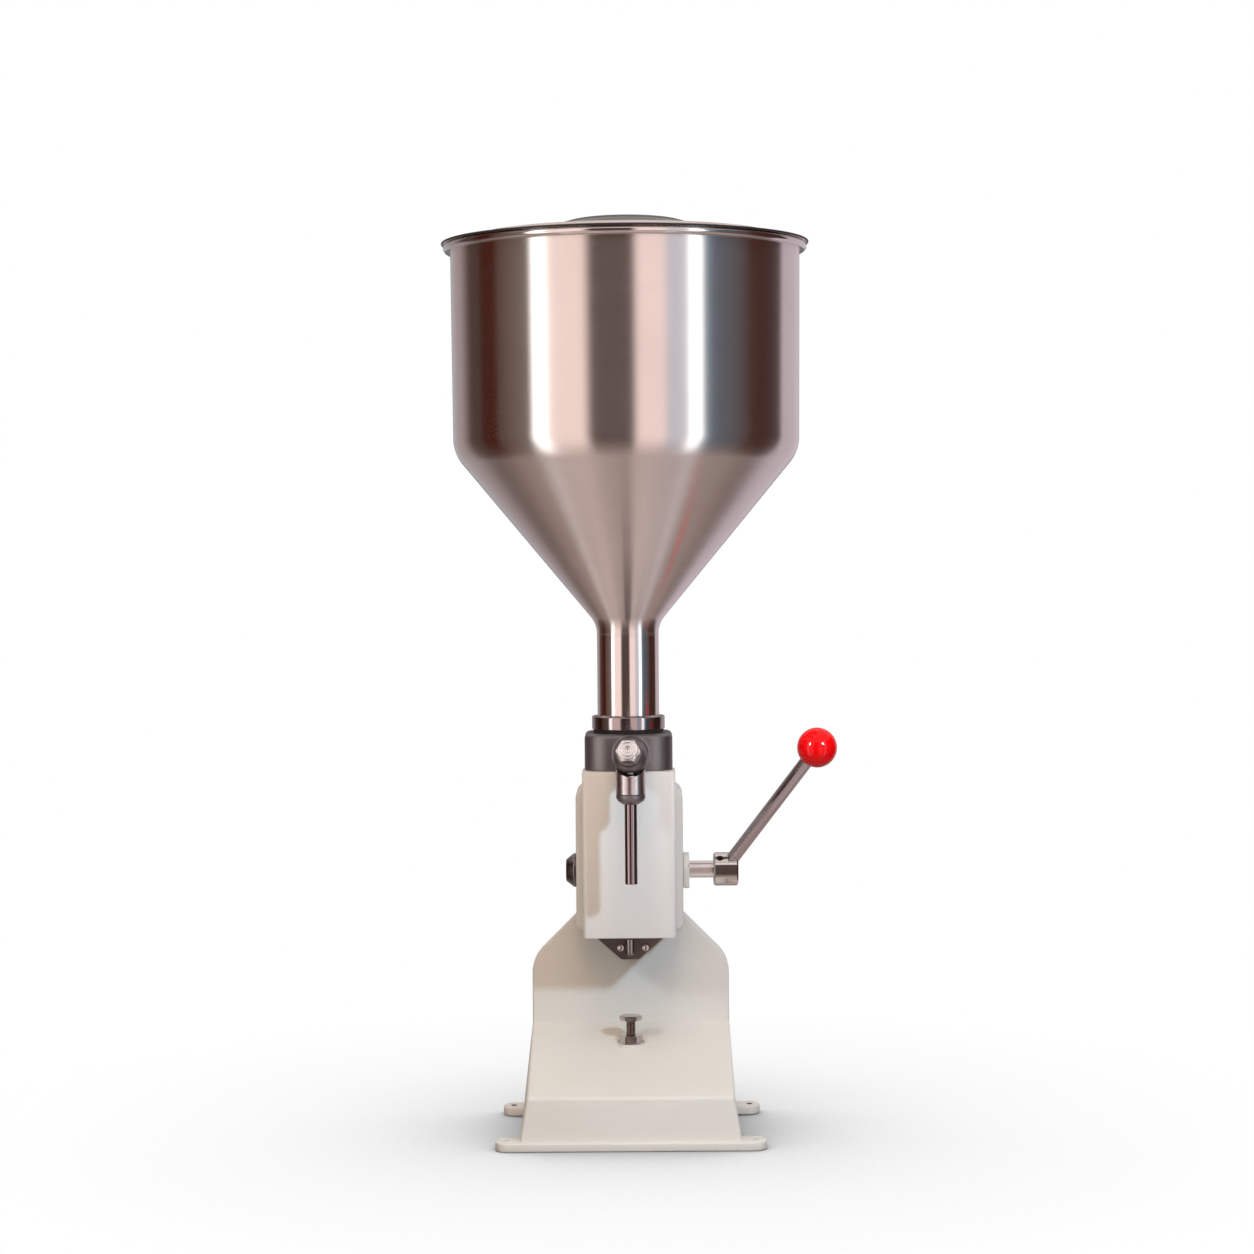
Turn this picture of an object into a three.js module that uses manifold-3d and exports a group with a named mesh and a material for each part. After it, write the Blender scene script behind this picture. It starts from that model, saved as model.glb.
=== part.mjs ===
// Hand-operated piston filler for pastes: a hopper over a valve block, a piston in a barrel under it,
// a nozzle in front, and a lever that drives the piston through a pinion and a rack.
// Millimetres, +Z up, +X to the right of someone facing the nozzle, +Y to the back.
// Everything is laid out about the barrel's axis; the origin is the middle of the front foot's underside.
import * as THREE from "three";
import { mergeVertices } from "three/addons/utils/BufferGeometryUtils.js";
import Module from "manifold-3d";

const wasm = await Module();
wasm.setup();

// Clearances and cuts
const seatGap = 0.3;
const overrun = 1;
const beyondPart = 400;

// Frame casting: feet
const footHeight = 7;
const footWidth = 215;
const frontFootY = -105;
const frontFootDepth = 26;
const rearFootY = 35;
const rearFootDepth = 25;
const footCornerRadius = 10;
const lugHoleSpacingX = 198;
const lugHoleDiameter = 5.5;

// Frame casting: base shell and deck
const castWall = 6;
const baseHalfWidth = 82.4;
const skirtHalfWidth = 87;
const footlineHalfWidth = 88;
const skirtHeight = 13;
const deckFrontY = -95;
const deckFrontHeight = 41;
const deckBackHeight = 78;
const skirtLean = 3.5;
const skirtToe = 1;
const baseCornerRadius = 6;

// Frame casting: panel, column and head
const panelFrontY = 40;
const castingBackY = 58;
const shoulderStartHeight = 121.5;
const shoulderEndHeight = 169;
const shoulderRadius = 25;
const columnHalfWidth = 44.2;
const columnFrontY = 0;
const columnBottomHeight = 159.5;
const columnTopRise = 6;
const columnTopRadius = 9;
const columnFootRadius = 6;
const floorThickness = 7.5;
const headThickness = 20.7;
const headFrontY = -34;
const headBackY = 48;
const panelEdgeRadius = 2.5;
const headCornerRadius = 8;

// Barrel and piston
const barrelBore = 40;
const barrelWall = 3;
const barrelLength = 53;
const barrelFlangeDiameter = 58;
const barrelFlangeThickness = 4;
const barrelGasketThickness = 1.4;
const pistonLength = 13;
const pistonRunningGap = 0.4;
const pistonTopDrop = 1.7;
const sealGrooveDepth = 2.4;
const sealHeight = 4;
const pistonScrewDiameter = 6;
const pistonScrewHeadDiameter = 12;
const pistonScrewHeadHeight = 3.2;
const pistonScrewLength = 20;

// Rack and pinion
const gearModule = 2;
const pinionTeeth = 22;
const pressureAngleDegrees = 20;
const toothBacklash = 0.5;
const pinionWidth = 12;
const pinionHubDiameter = 30;
const pinionHubLength = 24;
const rackWidth = 14;
const rackTeeth = 12;
const shaftRise = 47.5;
const pinionToBarrel = 7.3;
const guideWidth = 22;
const guideFlange = 30;
const guideFlangeThickness = 3;

// Stop plate and stop stud at the rack's foot
const stopPlateTopWidth = 68;
const stopPlateTipWidth = 14.8;
const stopPlateHeight = 23.4;
const stopPlateThickness = 3;
const stopPlateY = 3.5;
const stopPlateTipRadius = 4;
const rackFootInset = 1.5;
const rackFootThickness = 5;
const rackNeckWidth = 10;
const rackNeckHeight = 5.6;
const stopStudDiameter = 7.2;
const stopStudRise = 3.2;
const stopStudY = -2;
const plateScrewSpacing = 20.4;
const plateScrewOffset = 2.4;
const plateScrewRise = 9.8;
const plateScrewDiameter = 3;
const plateScrewHeadDiameter = 5.6;
const plateScrewHeadHeight = 1.8;

// Shaft, bushes and lever
const shaftDiameter = 14;
const shaftRightEnd = 89;
const bushWall = 3;
const washerThickness = 2;
const washerDiameter = 26;
const bearingFlangeDiameter = 28.3;
const bearingFlangeThickness = 5;
const bearingSplitWidth = 1;
const capBaseDiameter = 28;
const capFaceDiameter = 17.7;
const capLength = 8.5;
const capWall = 1.5;
const keyWidth = 4;
const keyDepth = 2.4;
const hubDiameter = 27.5;
const hubLength = 20.4;
const hubLeftX = 69.9;
const hubChamfer = 1.2;
const hubScrewDiameter = 5;
const hubScrewAngleDegrees = 43;
const leverBarWidth = 8;
const leverReach = 152;
const leverOutwardDegrees = 28.7;
const leverForwardDegrees = 36.9;
const leverRollDegrees = 17;
const leverSpigotDiameter = 7;
const ballDiameter = 32.6;
const ballSocketDepth = 14;

// Front cover
const coverHalfWidth = 37.9;
const coverWall = 1.6;
const coverFrontY = -40;
const coverBottomDrop = 0.5;
const coverTopRise = 1.3;
const coverEdgeRadius = 3.7;
const coverScrewY = -18;
const coverScrewDiameter = 4;
const coverScrewHeadDiameter = 7;
const coverScrewLength = 10;

// Valve block and its front elbow
const blockHalfWidth = 36;
const blockHeight = 31;
const blockCornerRadius = 20;
const blockEdgeRadius = 3.6;
const neckSocketDepth = 6;
const throatDiameter = 30;
const throatHeight = 3;
const outletPassageDiameter = 12;
const elbowRise = 15.3;
const elbowRadius = 13.8;
const elbowX = 1.8;
const elbowY = -84;
const bonnetDiameter = 20;
const bonnetReach = 13.9;
const plugTiltDegrees = 22;
const plugSwingDegrees = 6;
const plugAcrossFlats = 17;
const plugHeadLength = 8;
const plugChamfer = 0.8;
const plugShankDiameter = 10;
const plugShankLength = 7;
const inletDiscDiameter = 34;
const inletDiscThickness = 4;
const inletDiscLift = 5;
const stopPinDiameter = 4;
const stopPinLength = 50;
const blockScrewDiameter = 6;
const blockScrewHeadDiameter = 10;
const blockScrewHeadHeight = 6;
const blockScrewLength = 33;
const blockScrewSpacing = 50;

// Nozzle
const socketDiameter = 23.5;
const socketBore = 15;
const socketDrop = 28.2;
const outletSeatDrop = 6;
const outletSeatDiameter = 8;
const collarHeight = 8;
const collarTipDiameter = 13;
const collarTaperHeight = 2.6;
const collarBackset = 0.15;
const collarLedge = 1;
const nozzleDiameter = 10;
const nozzleBore = 8;
const nozzleLength = 71.6;
const outletBallDiameter = 11;
const springWire = 1.2;
const springMeanRadius = 5;
const springCoils = 5;

// Hopper
const gasketThickness = 1.8;
const neckDiameter = 50.8;
const neckWall = 2;
const collarRingDiameter = 60;
const collarRingHeight = 11;
const collarRingFillet = 1.2;
const sheetWall = 1.5;
const neckRise = 86.7;
const coneHalfAngleDegrees = 39.6;
const bowlFootRadius = 20;
const bowlFootDrop = 8.3;
const bowlBottomRadius = 142.3;
const bowlTopRadius = 143.8;
const bowlKneeRadius = 30;
const bowlHeight = 309.2;
const rimBeadRadius = 3.1;
const rimRadius = 149.8;

// Lid
const lidSheet = 1.2;
const lidOverhang = 1.5;
const lidHemHeight = 1.6;
const lidHemWidth = 3;
const lidSeatWidth = 10;
const lidLipDepth = 9;
const lidStepHeight = 6.6;
const lidStepWidth = 7;
const lidDomeRadius = 64;
const lidDomeFootRise = 1.6;
const lidDomePower = 3;
const lidRise = 22.6;
const lidCrownRadius = 16;

// Adjusting bolt
const boltDiameter = 8;
const boltHeadAcrossFlats = 16;
const boltHeadHeight = 4;
const boltHeadChamfer = 0.7;
const boltHeadRise = 23;
const boltLength = 75;
const lockNutAcrossFlats = 16.4;
const lockNutHeight = 6.5;
const lockNutChamfer = 0.8;
const boltBossDiameter = 22;
const boltBossDepth = 20;

// Worked-out places, from the column's floor up to the lid
const floorTop = columnBottomHeight + floorThickness;
const pitchRadius = (gearModule * pinionTeeth) / 2;
const rackPitchY = rackWidth / 2 - gearModule;
const shaftY = rackPitchY + pitchRadius;
const shaftHeight = columnBottomHeight + shaftRise;
const barrelBottom = shaftHeight + pitchRadius + gearModule + pinionToBarrel;
const headHeight = barrelBottom + barrelLength + barrelGasketThickness;
const headUnderside = headHeight - headThickness;
const columnTopHeight = headUnderside + columnTopRise;
const barrelTop = headHeight - barrelGasketThickness - seatGap;
const pistonTop = headHeight - pistonTopDrop;
const pistonRadius = barrelBore / 2 - pistonRunningGap;
const coverBottomHeight = columnBottomHeight - coverBottomDrop;
const coverTopHeight = headHeight + coverTopRise;
const blockBottom = headHeight + seatGap;
const blockTop = blockBottom + blockHeight;
const elbowHeight = blockBottom + elbowRise;
const outletSeatHeight = elbowHeight - outletSeatDrop;
const socketBottomHeight = elbowHeight - socketDrop;
const nozzleTipHeight = socketBottomHeight - nozzleLength;
const gasketTop = blockTop + seatGap + gasketThickness;
const coneBottomHeight = gasketTop + neckRise;
const bowlFootHeight = coneBottomHeight - bowlFootDrop;
const rimHeight = coneBottomHeight + bowlHeight;
const lidTopHeight = rimHeight + rimBeadRadius + seatGap + lidRise;
const stopPlateTop = columnBottomHeight - seatGap;
const stopPlateBottom = stopPlateTop - stopPlateHeight;
const deckSlope = (deckBackHeight - deckFrontHeight) / (panelFrontY - deckFrontY);
const deckAt = (y) => deckBackHeight - (panelFrontY - y) * deckSlope;
const boltHeadTopHeight = deckAt(0) + boltHeadRise;
const columnCavityHalf = columnHalfWidth - castWall;

const rad = THREE.MathUtils.degToRad;
const finePolygon = 36;
const roundPolygon = 20;
const smallPolygon = 12;
const filletSteps = 3;
const bevelSteps = 2;

// A three.js geometry as a closed manifold-3d solid, with its faces pointing outwards.
function solid(geometry) {
  const bare = geometry.clone();
  for (const name of Object.keys(bare.attributes)) if (name !== "position") bare.deleteAttribute(name);
  const merged = mergeVertices(bare, seatGap / 1000);
  const corners = Array.from(merged.index.array);
  const kept = [];
  for (let i = 0; i < corners.length; i += 3) {
    const [a, b, c] = corners.slice(i, i + 3);
    if (a !== b && b !== c && c !== a) kept.push(a, b, c);
  }
  const place = merged.attributes.position;
  const points = [0, 1, 2].map(() => new THREE.Vector3());
  let volume = 0;
  for (let i = 0; i < kept.length; i += 3) {
    points.forEach((point, k) => point.fromBufferAttribute(place, kept[i + k]));
    volume += points[0].dot(points[1].clone().cross(points[2]));
  }
  if (volume < 0) for (let i = 0; i < kept.length; i += 3) [kept[i + 1], kept[i + 2]] = [kept[i + 2], kept[i + 1]];
  const vertProperties = new Float32Array(place.array);
  return new wasm.Manifold(new wasm.Mesh({ numProp: 3, vertProperties, triVerts: new Uint32Array(kept) }));
}

// A manifold-3d solid as a three.js geometry.
function geometryOf(body) {
  const mesh = body.getMesh();
  const geometry = new THREE.BufferGeometry();
  geometry.setAttribute("position", new THREE.BufferAttribute(mesh.vertProperties, 3));
  geometry.setIndex(new THREE.BufferAttribute(mesh.triVerts, 1));
  return geometry;
}

const join = (first, ...others) => others.reduce((sum, next) => sum.add(next), first);
const cut = (first, ...tools) => tools.reduce((rest, tool) => rest.subtract(tool), first);

// Turns of a shape's own axes: XY to XZ, XY to YZ, and a turned piece's axis to Y or X.
const shapeToXZ = new THREE.Matrix4().makeRotationX(Math.PI / 2);
const shapeToYZ = new THREE.Matrix4().makeBasis(
  new THREE.Vector3(0, 1, 0), new THREE.Vector3(0, 0, 1), new THREE.Vector3(1, 0, 0));
const upright = new THREE.Matrix4().makeRotationX(Math.PI / 2);

function box(x0, x1, y0, y1, z0, z1) {
  const geometry = new THREE.BoxGeometry(x1 - x0, y1 - y0, z1 - z0);
  return solid(geometry.translate((x0 + x1) / 2, (y0 + y1) / 2, (z0 + z1) / 2));
}

// A profile of [radius, height] points turned about Z; it starts and ends on the axis or closes on itself.
function turned(profile, segments = roundPolygon) {
  const points = profile.map(([radius, height]) => new THREE.Vector2(radius, height));
  return new THREE.LatheGeometry(points, segments).applyMatrix4(upright);
}

const rodProfile = (radius, from, to) => [[0, from], [radius, from], [radius, to], [0, to]];
const tubeProfile = (inner, outer, from, to) => [
  [inner, from], [outer, from], [outer, to], [inner, to], [inner, from]];

function rod(radius, z0, z1, x = 0, y = 0, segments = roundPolygon) {
  return solid(turned(rodProfile(radius, z0, z1), segments).translate(x, y, 0));
}

// Rods along X and along Y
function rodX(radius, x0, x1, y, z, segments = roundPolygon) {
  return solid(turned(rodProfile(radius, x0, x1), segments).rotateY(Math.PI / 2).translate(0, y, z));
}

function rodY(radius, y0, y1, x, z, segments = roundPolygon) {
  const geometry = turned(rodProfile(radius, -y1, -y0), segments);
  return solid(geometry.rotateX(Math.PI / 2).translate(x, 0, z));
}

// An outline drawn in X and Y, or X and Z, or Y and Z, given thickness along the third axis.
function extruded(shape, depth, bevel = 0) {
  return new THREE.ExtrudeGeometry(shape, {
    depth: depth - 2 * bevel,
    bevelEnabled: bevel > 0,
    bevelSize: bevel,
    bevelOffset: -bevel,
    bevelThickness: bevel,
    bevelSegments: bevelSteps,
    curveSegments: filletSteps,
  }).translate(0, 0, bevel);
}

const plateXY = (shape, z0, z1, bevel) => solid(extruded(shape, z1 - z0, bevel).translate(0, 0, z0));
const plateXZ = (shape, y0, y1, bevel) =>
  solid(extruded(shape, y1 - y0, bevel).applyMatrix4(shapeToXZ).translate(0, y1, 0));
const plateYZ = (shape, x0, x1, bevel) =>
  solid(extruded(shape, x1 - x0, bevel).applyMatrix4(shapeToYZ).translate(x0, 0, 0));

// An outline through corner points, each rounded by its own radius.
function roundedOutline(corners) {
  const shape = new THREE.Shape();
  const count = corners.length;
  corners.forEach(([x, y, radius = 0], i) => {
    const corner = new THREE.Vector2(x, y);
    const before = new THREE.Vector2(...corners[(i + count - 1) % count].slice(0, 2)).sub(corner);
    const after = new THREE.Vector2(...corners[(i + 1) % count].slice(0, 2)).sub(corner);
    const halfAngle = before.angleTo(after) / 2;
    const back = radius / Math.tan(halfAngle);
    const enter = corner.clone().addScaledVector(before.normalize(), back);
    const leave = corner.clone().addScaledVector(after.normalize(), back);
    if (i === 0) shape.moveTo(enter.x, enter.y);
    else shape.lineTo(enter.x, enter.y);
    if (radius === 0) return;
    const inward = before.clone().add(after).normalize();
    const centre = corner.clone().addScaledVector(inward, radius / Math.sin(halfAngle));
    const start = enter.clone().sub(centre).angle();
    const end = leave.clone().sub(centre).angle();
    const clockwise = before.cross(after) > 0;
    shape.absarc(centre.x, centre.y, radius, start, end, clockwise);
  });
  shape.closePath();
  return shape;
}

const roundedBox = (halfX, y0, y1, radius) => roundedOutline([
  [-halfX, y0, radius], [halfX, y0, radius], [halfX, y1, radius], [-halfX, y1, radius]]);

// A solid through rounded rectangles at rising heights: each level is [height, halfX, y0, y1, radius].
function loft(levels) {
  const rings = levels.map(([z, halfX, y0, y1, radius]) => {
    const centres = [[halfX, y1], [-halfX, y1], [-halfX, y0], [halfX, y0]];
    return centres.flatMap(([x, y], quarter) => {
      const cx = x - Math.sign(x) * radius;
      const cy = quarter < 2 ? y - radius : y + radius;
      return Array.from({ length: filletSteps + 1 }, (_, k) => {
        const angle = ((quarter + k / filletSteps) * Math.PI) / 2;
        return [cx + radius * Math.cos(angle), cy + radius * Math.sin(angle), z];
      });
    });
  });
  const size = rings[0].length;
  const last = (rings.length - 1) * size;
  const index = [];
  for (let level = 0; level < rings.length - 1; level++) {
    for (let i = 0; i < size; i++) {
      const a = level * size + i;
      const b = level * size + ((i + 1) % size);
      index.push(a, b, b + size, a, b + size, a + size);
    }
  }
  for (let i = 1; i < size - 1; i++) index.push(0, i + 1, i, last, last + i, last + i + 1);
  const geometry = new THREE.BufferGeometry();
  geometry.setAttribute("position", new THREE.Float32BufferAttribute(rings.flat(2), 3));
  geometry.setIndex(index);
  return solid(geometry);
}

// A hexagon across flats, turned about Z, with chamfered faces.
function hexagon(acrossFlats, z0, z1, chamfer, topOnly = false) {
  const prism = solid(new THREE.CylinderGeometry(
    acrossFlats / Math.sqrt(3), acrossFlats / Math.sqrt(3), z1 - z0, 6)
    .rotateY(Math.PI / 6).applyMatrix4(upright).translate(0, 0, (z0 + z1) / 2));
  const corner = acrossFlats / Math.sqrt(3);
  const face = acrossFlats / 2 - chamfer / 2;
  const low = topOnly ? [[corner + chamfer, z0]] : [[face, z0], [corner + chamfer, z0 + chamfer]];
  const envelope = [[0, z0], ...low, [corner + chamfer, z1 - chamfer], [face, z1], [0, z1]];
  return prism.intersect(solid(turned(envelope, roundPolygon)));
}

// Colours and finishes
const finish = (color, roughness, metalness) => new THREE.MeshStandardMaterial({ color, roughness, metalness });
const creamPaint = finish("#dcd6cc", 0.5, 0);
const brushedSteel = finish("#a89c96", 0.35, 1);
const polishedSteel = finish("#b9b1ad", 0.15, 1);
const satinSteel = finish("#77716f", 0.5, 1);
const darkSteel = finish("#4b433d", 0.45, 1);
const redGloss = finish("#e01212", 0.15, 0);
const blackRubber = finish("#1c1a19", 0.8, 0);
const bronze = finish("#a9803f", 0.4, 1);
const whitePlastic = finish("#e8e6df", 0.4, 0);

const machine = new THREE.Group();

function add(name, body, material) {
  const mesh = new THREE.Mesh(geometryOf(body), material);
  mesh.name = name;
  machine.add(mesh);
}

// The casting's outline seen from the front, drawn in by an inset and cut off at a top height.
function panelOutline(inset, bottom, top, topRadius) {
  const half = baseHalfWidth - inset;
  const narrow = columnHalfWidth - inset;
  const drop = inset * Math.tan(Math.PI / 8);
  const rise = shoulderEndHeight - shoulderStartHeight;
  const kneeHeight = shoulderEndHeight - (baseHalfWidth - columnHalfWidth) - drop;
  const neckHeight = shoulderEndHeight - drop;
  const kneeRadius = Math.min(shoulderRadius - inset, rise / 2);
  const stops = top > neckHeight
    ? [[narrow, neckHeight], [narrow, top, topRadius]]
    : [[half - (top - kneeHeight), top]];
  const right = [[half, bottom], [half, kneeHeight, kneeRadius], ...stops];
  const left = right.map(([x, z, radius]) => [-x, z, radius]).reverse();
  return roundedOutline([...right, ...left]);
}

// Everything above the deck's slope, lowered by a depth measured along Z.
function aboveDeck(lowered) {
  const start = deckFrontY - beyondPart / 2;
  return plateYZ(roundedOutline([
    [start, deckAt(start) - lowered],
    [panelFrontY, deckBackHeight - lowered],
    [panelFrontY, beyondPart],
    [start, beyondPart],
  ]), -beyondPart, beyondPart);
}

const baseLevels = (inset, y1, radius) => [
  [inset ? -overrun : 0, footlineHalfWidth - inset, deckFrontY - skirtLean - skirtToe + inset, y1, radius],
  [skirtHeight, skirtHalfWidth - inset, deckFrontY - skirtLean + inset, y1, radius],
  [deckFrontHeight, baseHalfWidth - inset, deckFrontY + inset, y1, radius],
  [deckBackHeight + castWall, baseHalfWidth - inset, deckFrontY + inset, y1, radius],
];

// One casting: feet with lugs, hollow base with its sloping deck, panel with shoulders, column and head
function frameCasting() {
  const panel = plateXZ(
    panelOutline(0, 0, columnTopHeight, columnTopRadius), panelFrontY, castingBackY, panelEdgeRadius);
  const column = plateXZ(roundedOutline([
    [-columnHalfWidth, columnBottomHeight, columnFootRadius],
    [columnHalfWidth, columnBottomHeight, columnFootRadius],
    [columnHalfWidth, columnTopHeight, columnTopRadius],
    [-columnHalfWidth, columnTopHeight, columnTopRadius],
  ]), columnFrontY, castingBackY - panelEdgeRadius);
  const ledgeHalf = coverHalfWidth - coverWall - seatGap;
  const head = plateXY(
    roundedBox(ledgeHalf, headFrontY, headBackY, headCornerRadius), headUnderside, headHeight);
  const floor = box(-ledgeHalf, ledgeHalf, headFrontY, columnFrontY + castWall, columnBottomHeight, floorTop);
  const base = cut(loft(baseLevels(0, castingBackY - panelEdgeRadius, baseCornerRadius)), aboveDeck(0));
  const deckWall = castWall / Math.cos(Math.atan(deckSlope));
  const baseHollow = cut(loft(baseLevels(castWall, panelFrontY, baseCornerRadius / 2)), aboveDeck(deckWall));
  const panelHollow = plateXZ(
    panelOutline(castWall, -overrun, columnBottomHeight - castWall),
    panelFrontY + castWall, castingBackY + overrun);
  const columnHollow = box(
    -columnCavityHalf, columnCavityHalf, columnFrontY - overrun, castingBackY - castWall, floorTop, headUnderside);
  const shell = cut(join(panel, column, base), baseHollow, panelHollow, columnHollow);

  const foot = (y0, depth) => plateXY(
    roundedBox(footWidth / 2, y0, y0 + depth, footCornerRadius), 0, footHeight, overrun);
  const boss = rod(boltBossDiameter / 2, deckAt(0) - boltBossDepth, deckAt(0));
  const spotFace = rod(boltBossDiameter / 2, deckAt(0), deckBackHeight + castWall);
  const boltBore = rod(boltDiameter / 2 + seatGap, 0, deckBackHeight, 0, 0, smallPolygon);

  const lugHoles = [frontFootY + frontFootDepth / 2, rearFootY + rearFootDepth / 2].flatMap((y) =>
    [-1, 1].map((side) => rod(
      lugHoleDiameter / 2, -overrun, footHeight + overrun, (side * lugHoleSpacingX) / 2, y, smallPolygon)));
  const barrelHole = rod(
    barrelBore / 2 + barrelWall + seatGap, headUnderside - overrun, headHeight + overrun);
  const flangeSeat = rod(
    barrelFlangeDiameter / 2 + seatGap, barrelTop - barrelFlangeThickness - seatGap, headHeight + overrun);
  const guideHole = box(
    -guideWidth / 2 - seatGap, guideWidth / 2 + seatGap, -guideWidth / 2 - seatGap, guideWidth / 2 + seatGap,
    columnBottomHeight - overrun, floorTop + overrun);
  const bushHole = rodX(
    shaftDiameter / 2 + bushWall + 2 * seatGap, -columnHalfWidth - overrun, columnHalfWidth + overrun,
    shaftY, shaftHeight);
  const blockHoles = blockScrewPlaces.map(([x, y]) => rod(
    blockScrewDiameter / 2 + seatGap, headUnderside - overrun, headHeight + overrun, x, y, smallPolygon));
  const coverHoles = coverScrewPlaces.map(([side, z]) => rodX(
    coverScrewDiameter / 2 + seatGap, ...spanX(side, coverHalfWidth - coverScrewLength - seatGap, coverHalfWidth),
    coverScrewY, z, smallPolygon));
  return cut(
    join(shell, head, floor, foot(frontFootY, frontFootDepth), foot(rearFootY, rearFootDepth), boss),
    spotFace, boltBore, ...lugHoles, barrelHole, flangeSeat, guideHole, bushHole, ...blockHoles, ...coverHoles);
}

// Places along X from a near to a far distance on one side, in rising order
const spanX = (side, near, far) => (side > 0 ? [near, far] : [-far, -near]);

const blockScrewPlaces = [-1, 1].flatMap((sx) => [-1, 1].map((sy) => [
  (sx * blockScrewSpacing) / 2, (sy * blockScrewSpacing) / 2]));
const coverScrewHeights = [(columnBottomHeight + floorTop) / 2, (headUnderside + headHeight) / 2];
const coverScrewPlaces = [-1, 1].flatMap((side) => coverScrewHeights.map((z) => [side, z]));

// Front cover: one sheet folded round three sides
function frontCover() {
  const back = columnFrontY - seatGap;
  const outer = roundedOutline([
    [-coverHalfWidth, back], [-coverHalfWidth, coverFrontY, coverEdgeRadius],
    [coverHalfWidth, coverFrontY, coverEdgeRadius], [coverHalfWidth, back]]);
  const innerHalf = coverHalfWidth - coverWall;
  const innerRadius = coverEdgeRadius - coverWall;
  const inner = roundedOutline([
    [-innerHalf, back + overrun], [-innerHalf, coverFrontY + coverWall, innerRadius],
    [innerHalf, coverFrontY + coverWall, innerRadius], [innerHalf, back + overrun]]);
  const sinks = coverScrewPlaces.map(([side, z]) => coverScrew(side, z, seatGap));
  return cut(
    plateXY(outer, coverBottomHeight, coverTopHeight),
    plateXY(inner, coverBottomHeight - overrun, coverTopHeight + overrun), ...sinks);
}

// Countersunk screw through the cover's side into the casting; grown by a clearance it cuts its own seat.
function coverScrew(side, z, grown = 0) {
  const headHeightOfCone = (coverScrewHeadDiameter - coverScrewDiameter) / 2;
  const profile = [
    [0, -coverScrewLength], [coverScrewDiameter / 2 + grown, -coverScrewLength],
    [coverScrewDiameter / 2 + grown, -headHeightOfCone],
    [coverScrewHeadDiameter / 2 + grown, 0], [coverScrewHeadDiameter / 2 + grown, grown], [0, grown],
  ].filter(([, height], i) => grown > 0 || i !== 4);
  const geometry = turned(profile, smallPolygon).rotateY((side * Math.PI) / 2);
  return solid(geometry.translate(side * (coverHalfWidth - seatGap / 3), coverScrewY, z));
}

// Direction of the inclined plug, out of the elbow's centre: forwards, upwards and a little to the left
const plugDirection = new THREE.Vector3(
  -Math.sin(rad(plugSwingDegrees)), -1, Math.tan(rad(plugTiltDegrees))).normalize();
const toPlug = (geometry) => geometry
  .applyQuaternion(new THREE.Quaternion().setFromUnitVectors(new THREE.Vector3(0, 0, 1), plugDirection))
  .translate(elbowX, elbowY, elbowHeight);

// The elbow's outside: a round arm with a ball end, grown by a clearance where other pieces fit it
function elbowSolid(grown) {
  const radius = elbowRadius + grown;
  const arm = rodY(radius, elbowY, -blockHalfWidth / 2, elbowX, elbowHeight);
  const ballEnd = solid(new THREE.SphereGeometry(radius, roundPolygon, roundPolygon / 2)
    .translate(elbowX, elbowY, elbowHeight));
  return join(arm, ballEnd);
}

// Valve block: hopper seat on top, chamber over the barrel, and the elbow that leads down to the nozzle
function valveBlock() {
  const half = blockHalfWidth;
  const body = loft([
    [blockBottom, half, -half, half, blockCornerRadius],
    [blockTop - blockEdgeRadius, half, -half, half, blockCornerRadius],
    ...[1, 2, 3].map((k) => {
      const angle = (k * Math.PI) / 6;
      const inset = blockEdgeRadius * (1 - Math.cos(angle));
      const height = blockTop - blockEdgeRadius * (1 - Math.sin(angle));
      return [height, half - inset, inset - half, half - inset, blockCornerRadius - inset];
    }),
  ]);
  const bonnet = solid(toPlug(turned(rodProfile(bonnetDiameter / 2, elbowRadius / 2, bonnetReach))));
  const neckSocket = rod(neckDiameter / 2 + seatGap, blockTop - neckSocketDepth, blockTop + overrun);
  const throat = rod(throatDiameter / 2, inletSeatHeight - overrun, blockTop);
  const chamber = rod(barrelBore / 2, blockBottom - overrun, inletSeatHeight);
  const passage = rodY(outletPassageDiameter / 2, elbowY, 0, elbowX, elbowHeight, smallPolygon);
  const ballCavity = rod(
    socketBore / 2, elbowHeight - 2 * elbowRadius, outletSeatHeight, elbowX, elbowY, smallPolygon);
  const outletSeat = rod(
    outletSeatDiameter / 2, outletSeatHeight - overrun, elbowHeight, elbowX, elbowY, smallPolygon);
  const plugBore = solid(toPlug(turned(
    rodProfile(plugShankDiameter / 2 + seatGap, 0, elbowRadius + overrun), smallPolygon)));
  const pinBore = rodX(
    stopPinDiameter / 2 + seatGap, -stopPinLength / 2 - seatGap, stopPinLength / 2 + seatGap, 0, stopPinHeight,
    smallPolygon);
  const screwHoles = blockScrewPlaces.map(([x, y]) => rod(
    blockScrewDiameter / 2 + seatGap, blockBottom - overrun, headUnderside + blockScrewLength + seatGap, x, y,
    smallPolygon));
  return cut(join(body, elbowSolid(0), bonnet),
    neckSocket, throat, chamber, passage, ballCavity, outletSeat, plugBore, pinBore, ...screwHoles);
}

// Inlet check: a loose disc that rests on a pin and is pushed up against its seat
const inletSeatHeight = blockTop - neckSocketDepth - throatHeight;
const inletDiscTop = inletSeatHeight - seatGap - inletDiscLift;
const stopPinHeight = inletDiscTop - inletDiscThickness - seatGap - stopPinDiameter / 2;

function hexPlug() {
  const face = bonnetReach + seatGap;
  const head = geometryOf(hexagon(plugAcrossFlats, face, face + plugHeadLength, plugChamfer, true));
  const shank = turned(rodProfile(plugShankDiameter / 2, face - plugShankLength, face + overrun), smallPolygon);
  return join(solid(toPlug(head)), solid(toPlug(shank)));
}

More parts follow.
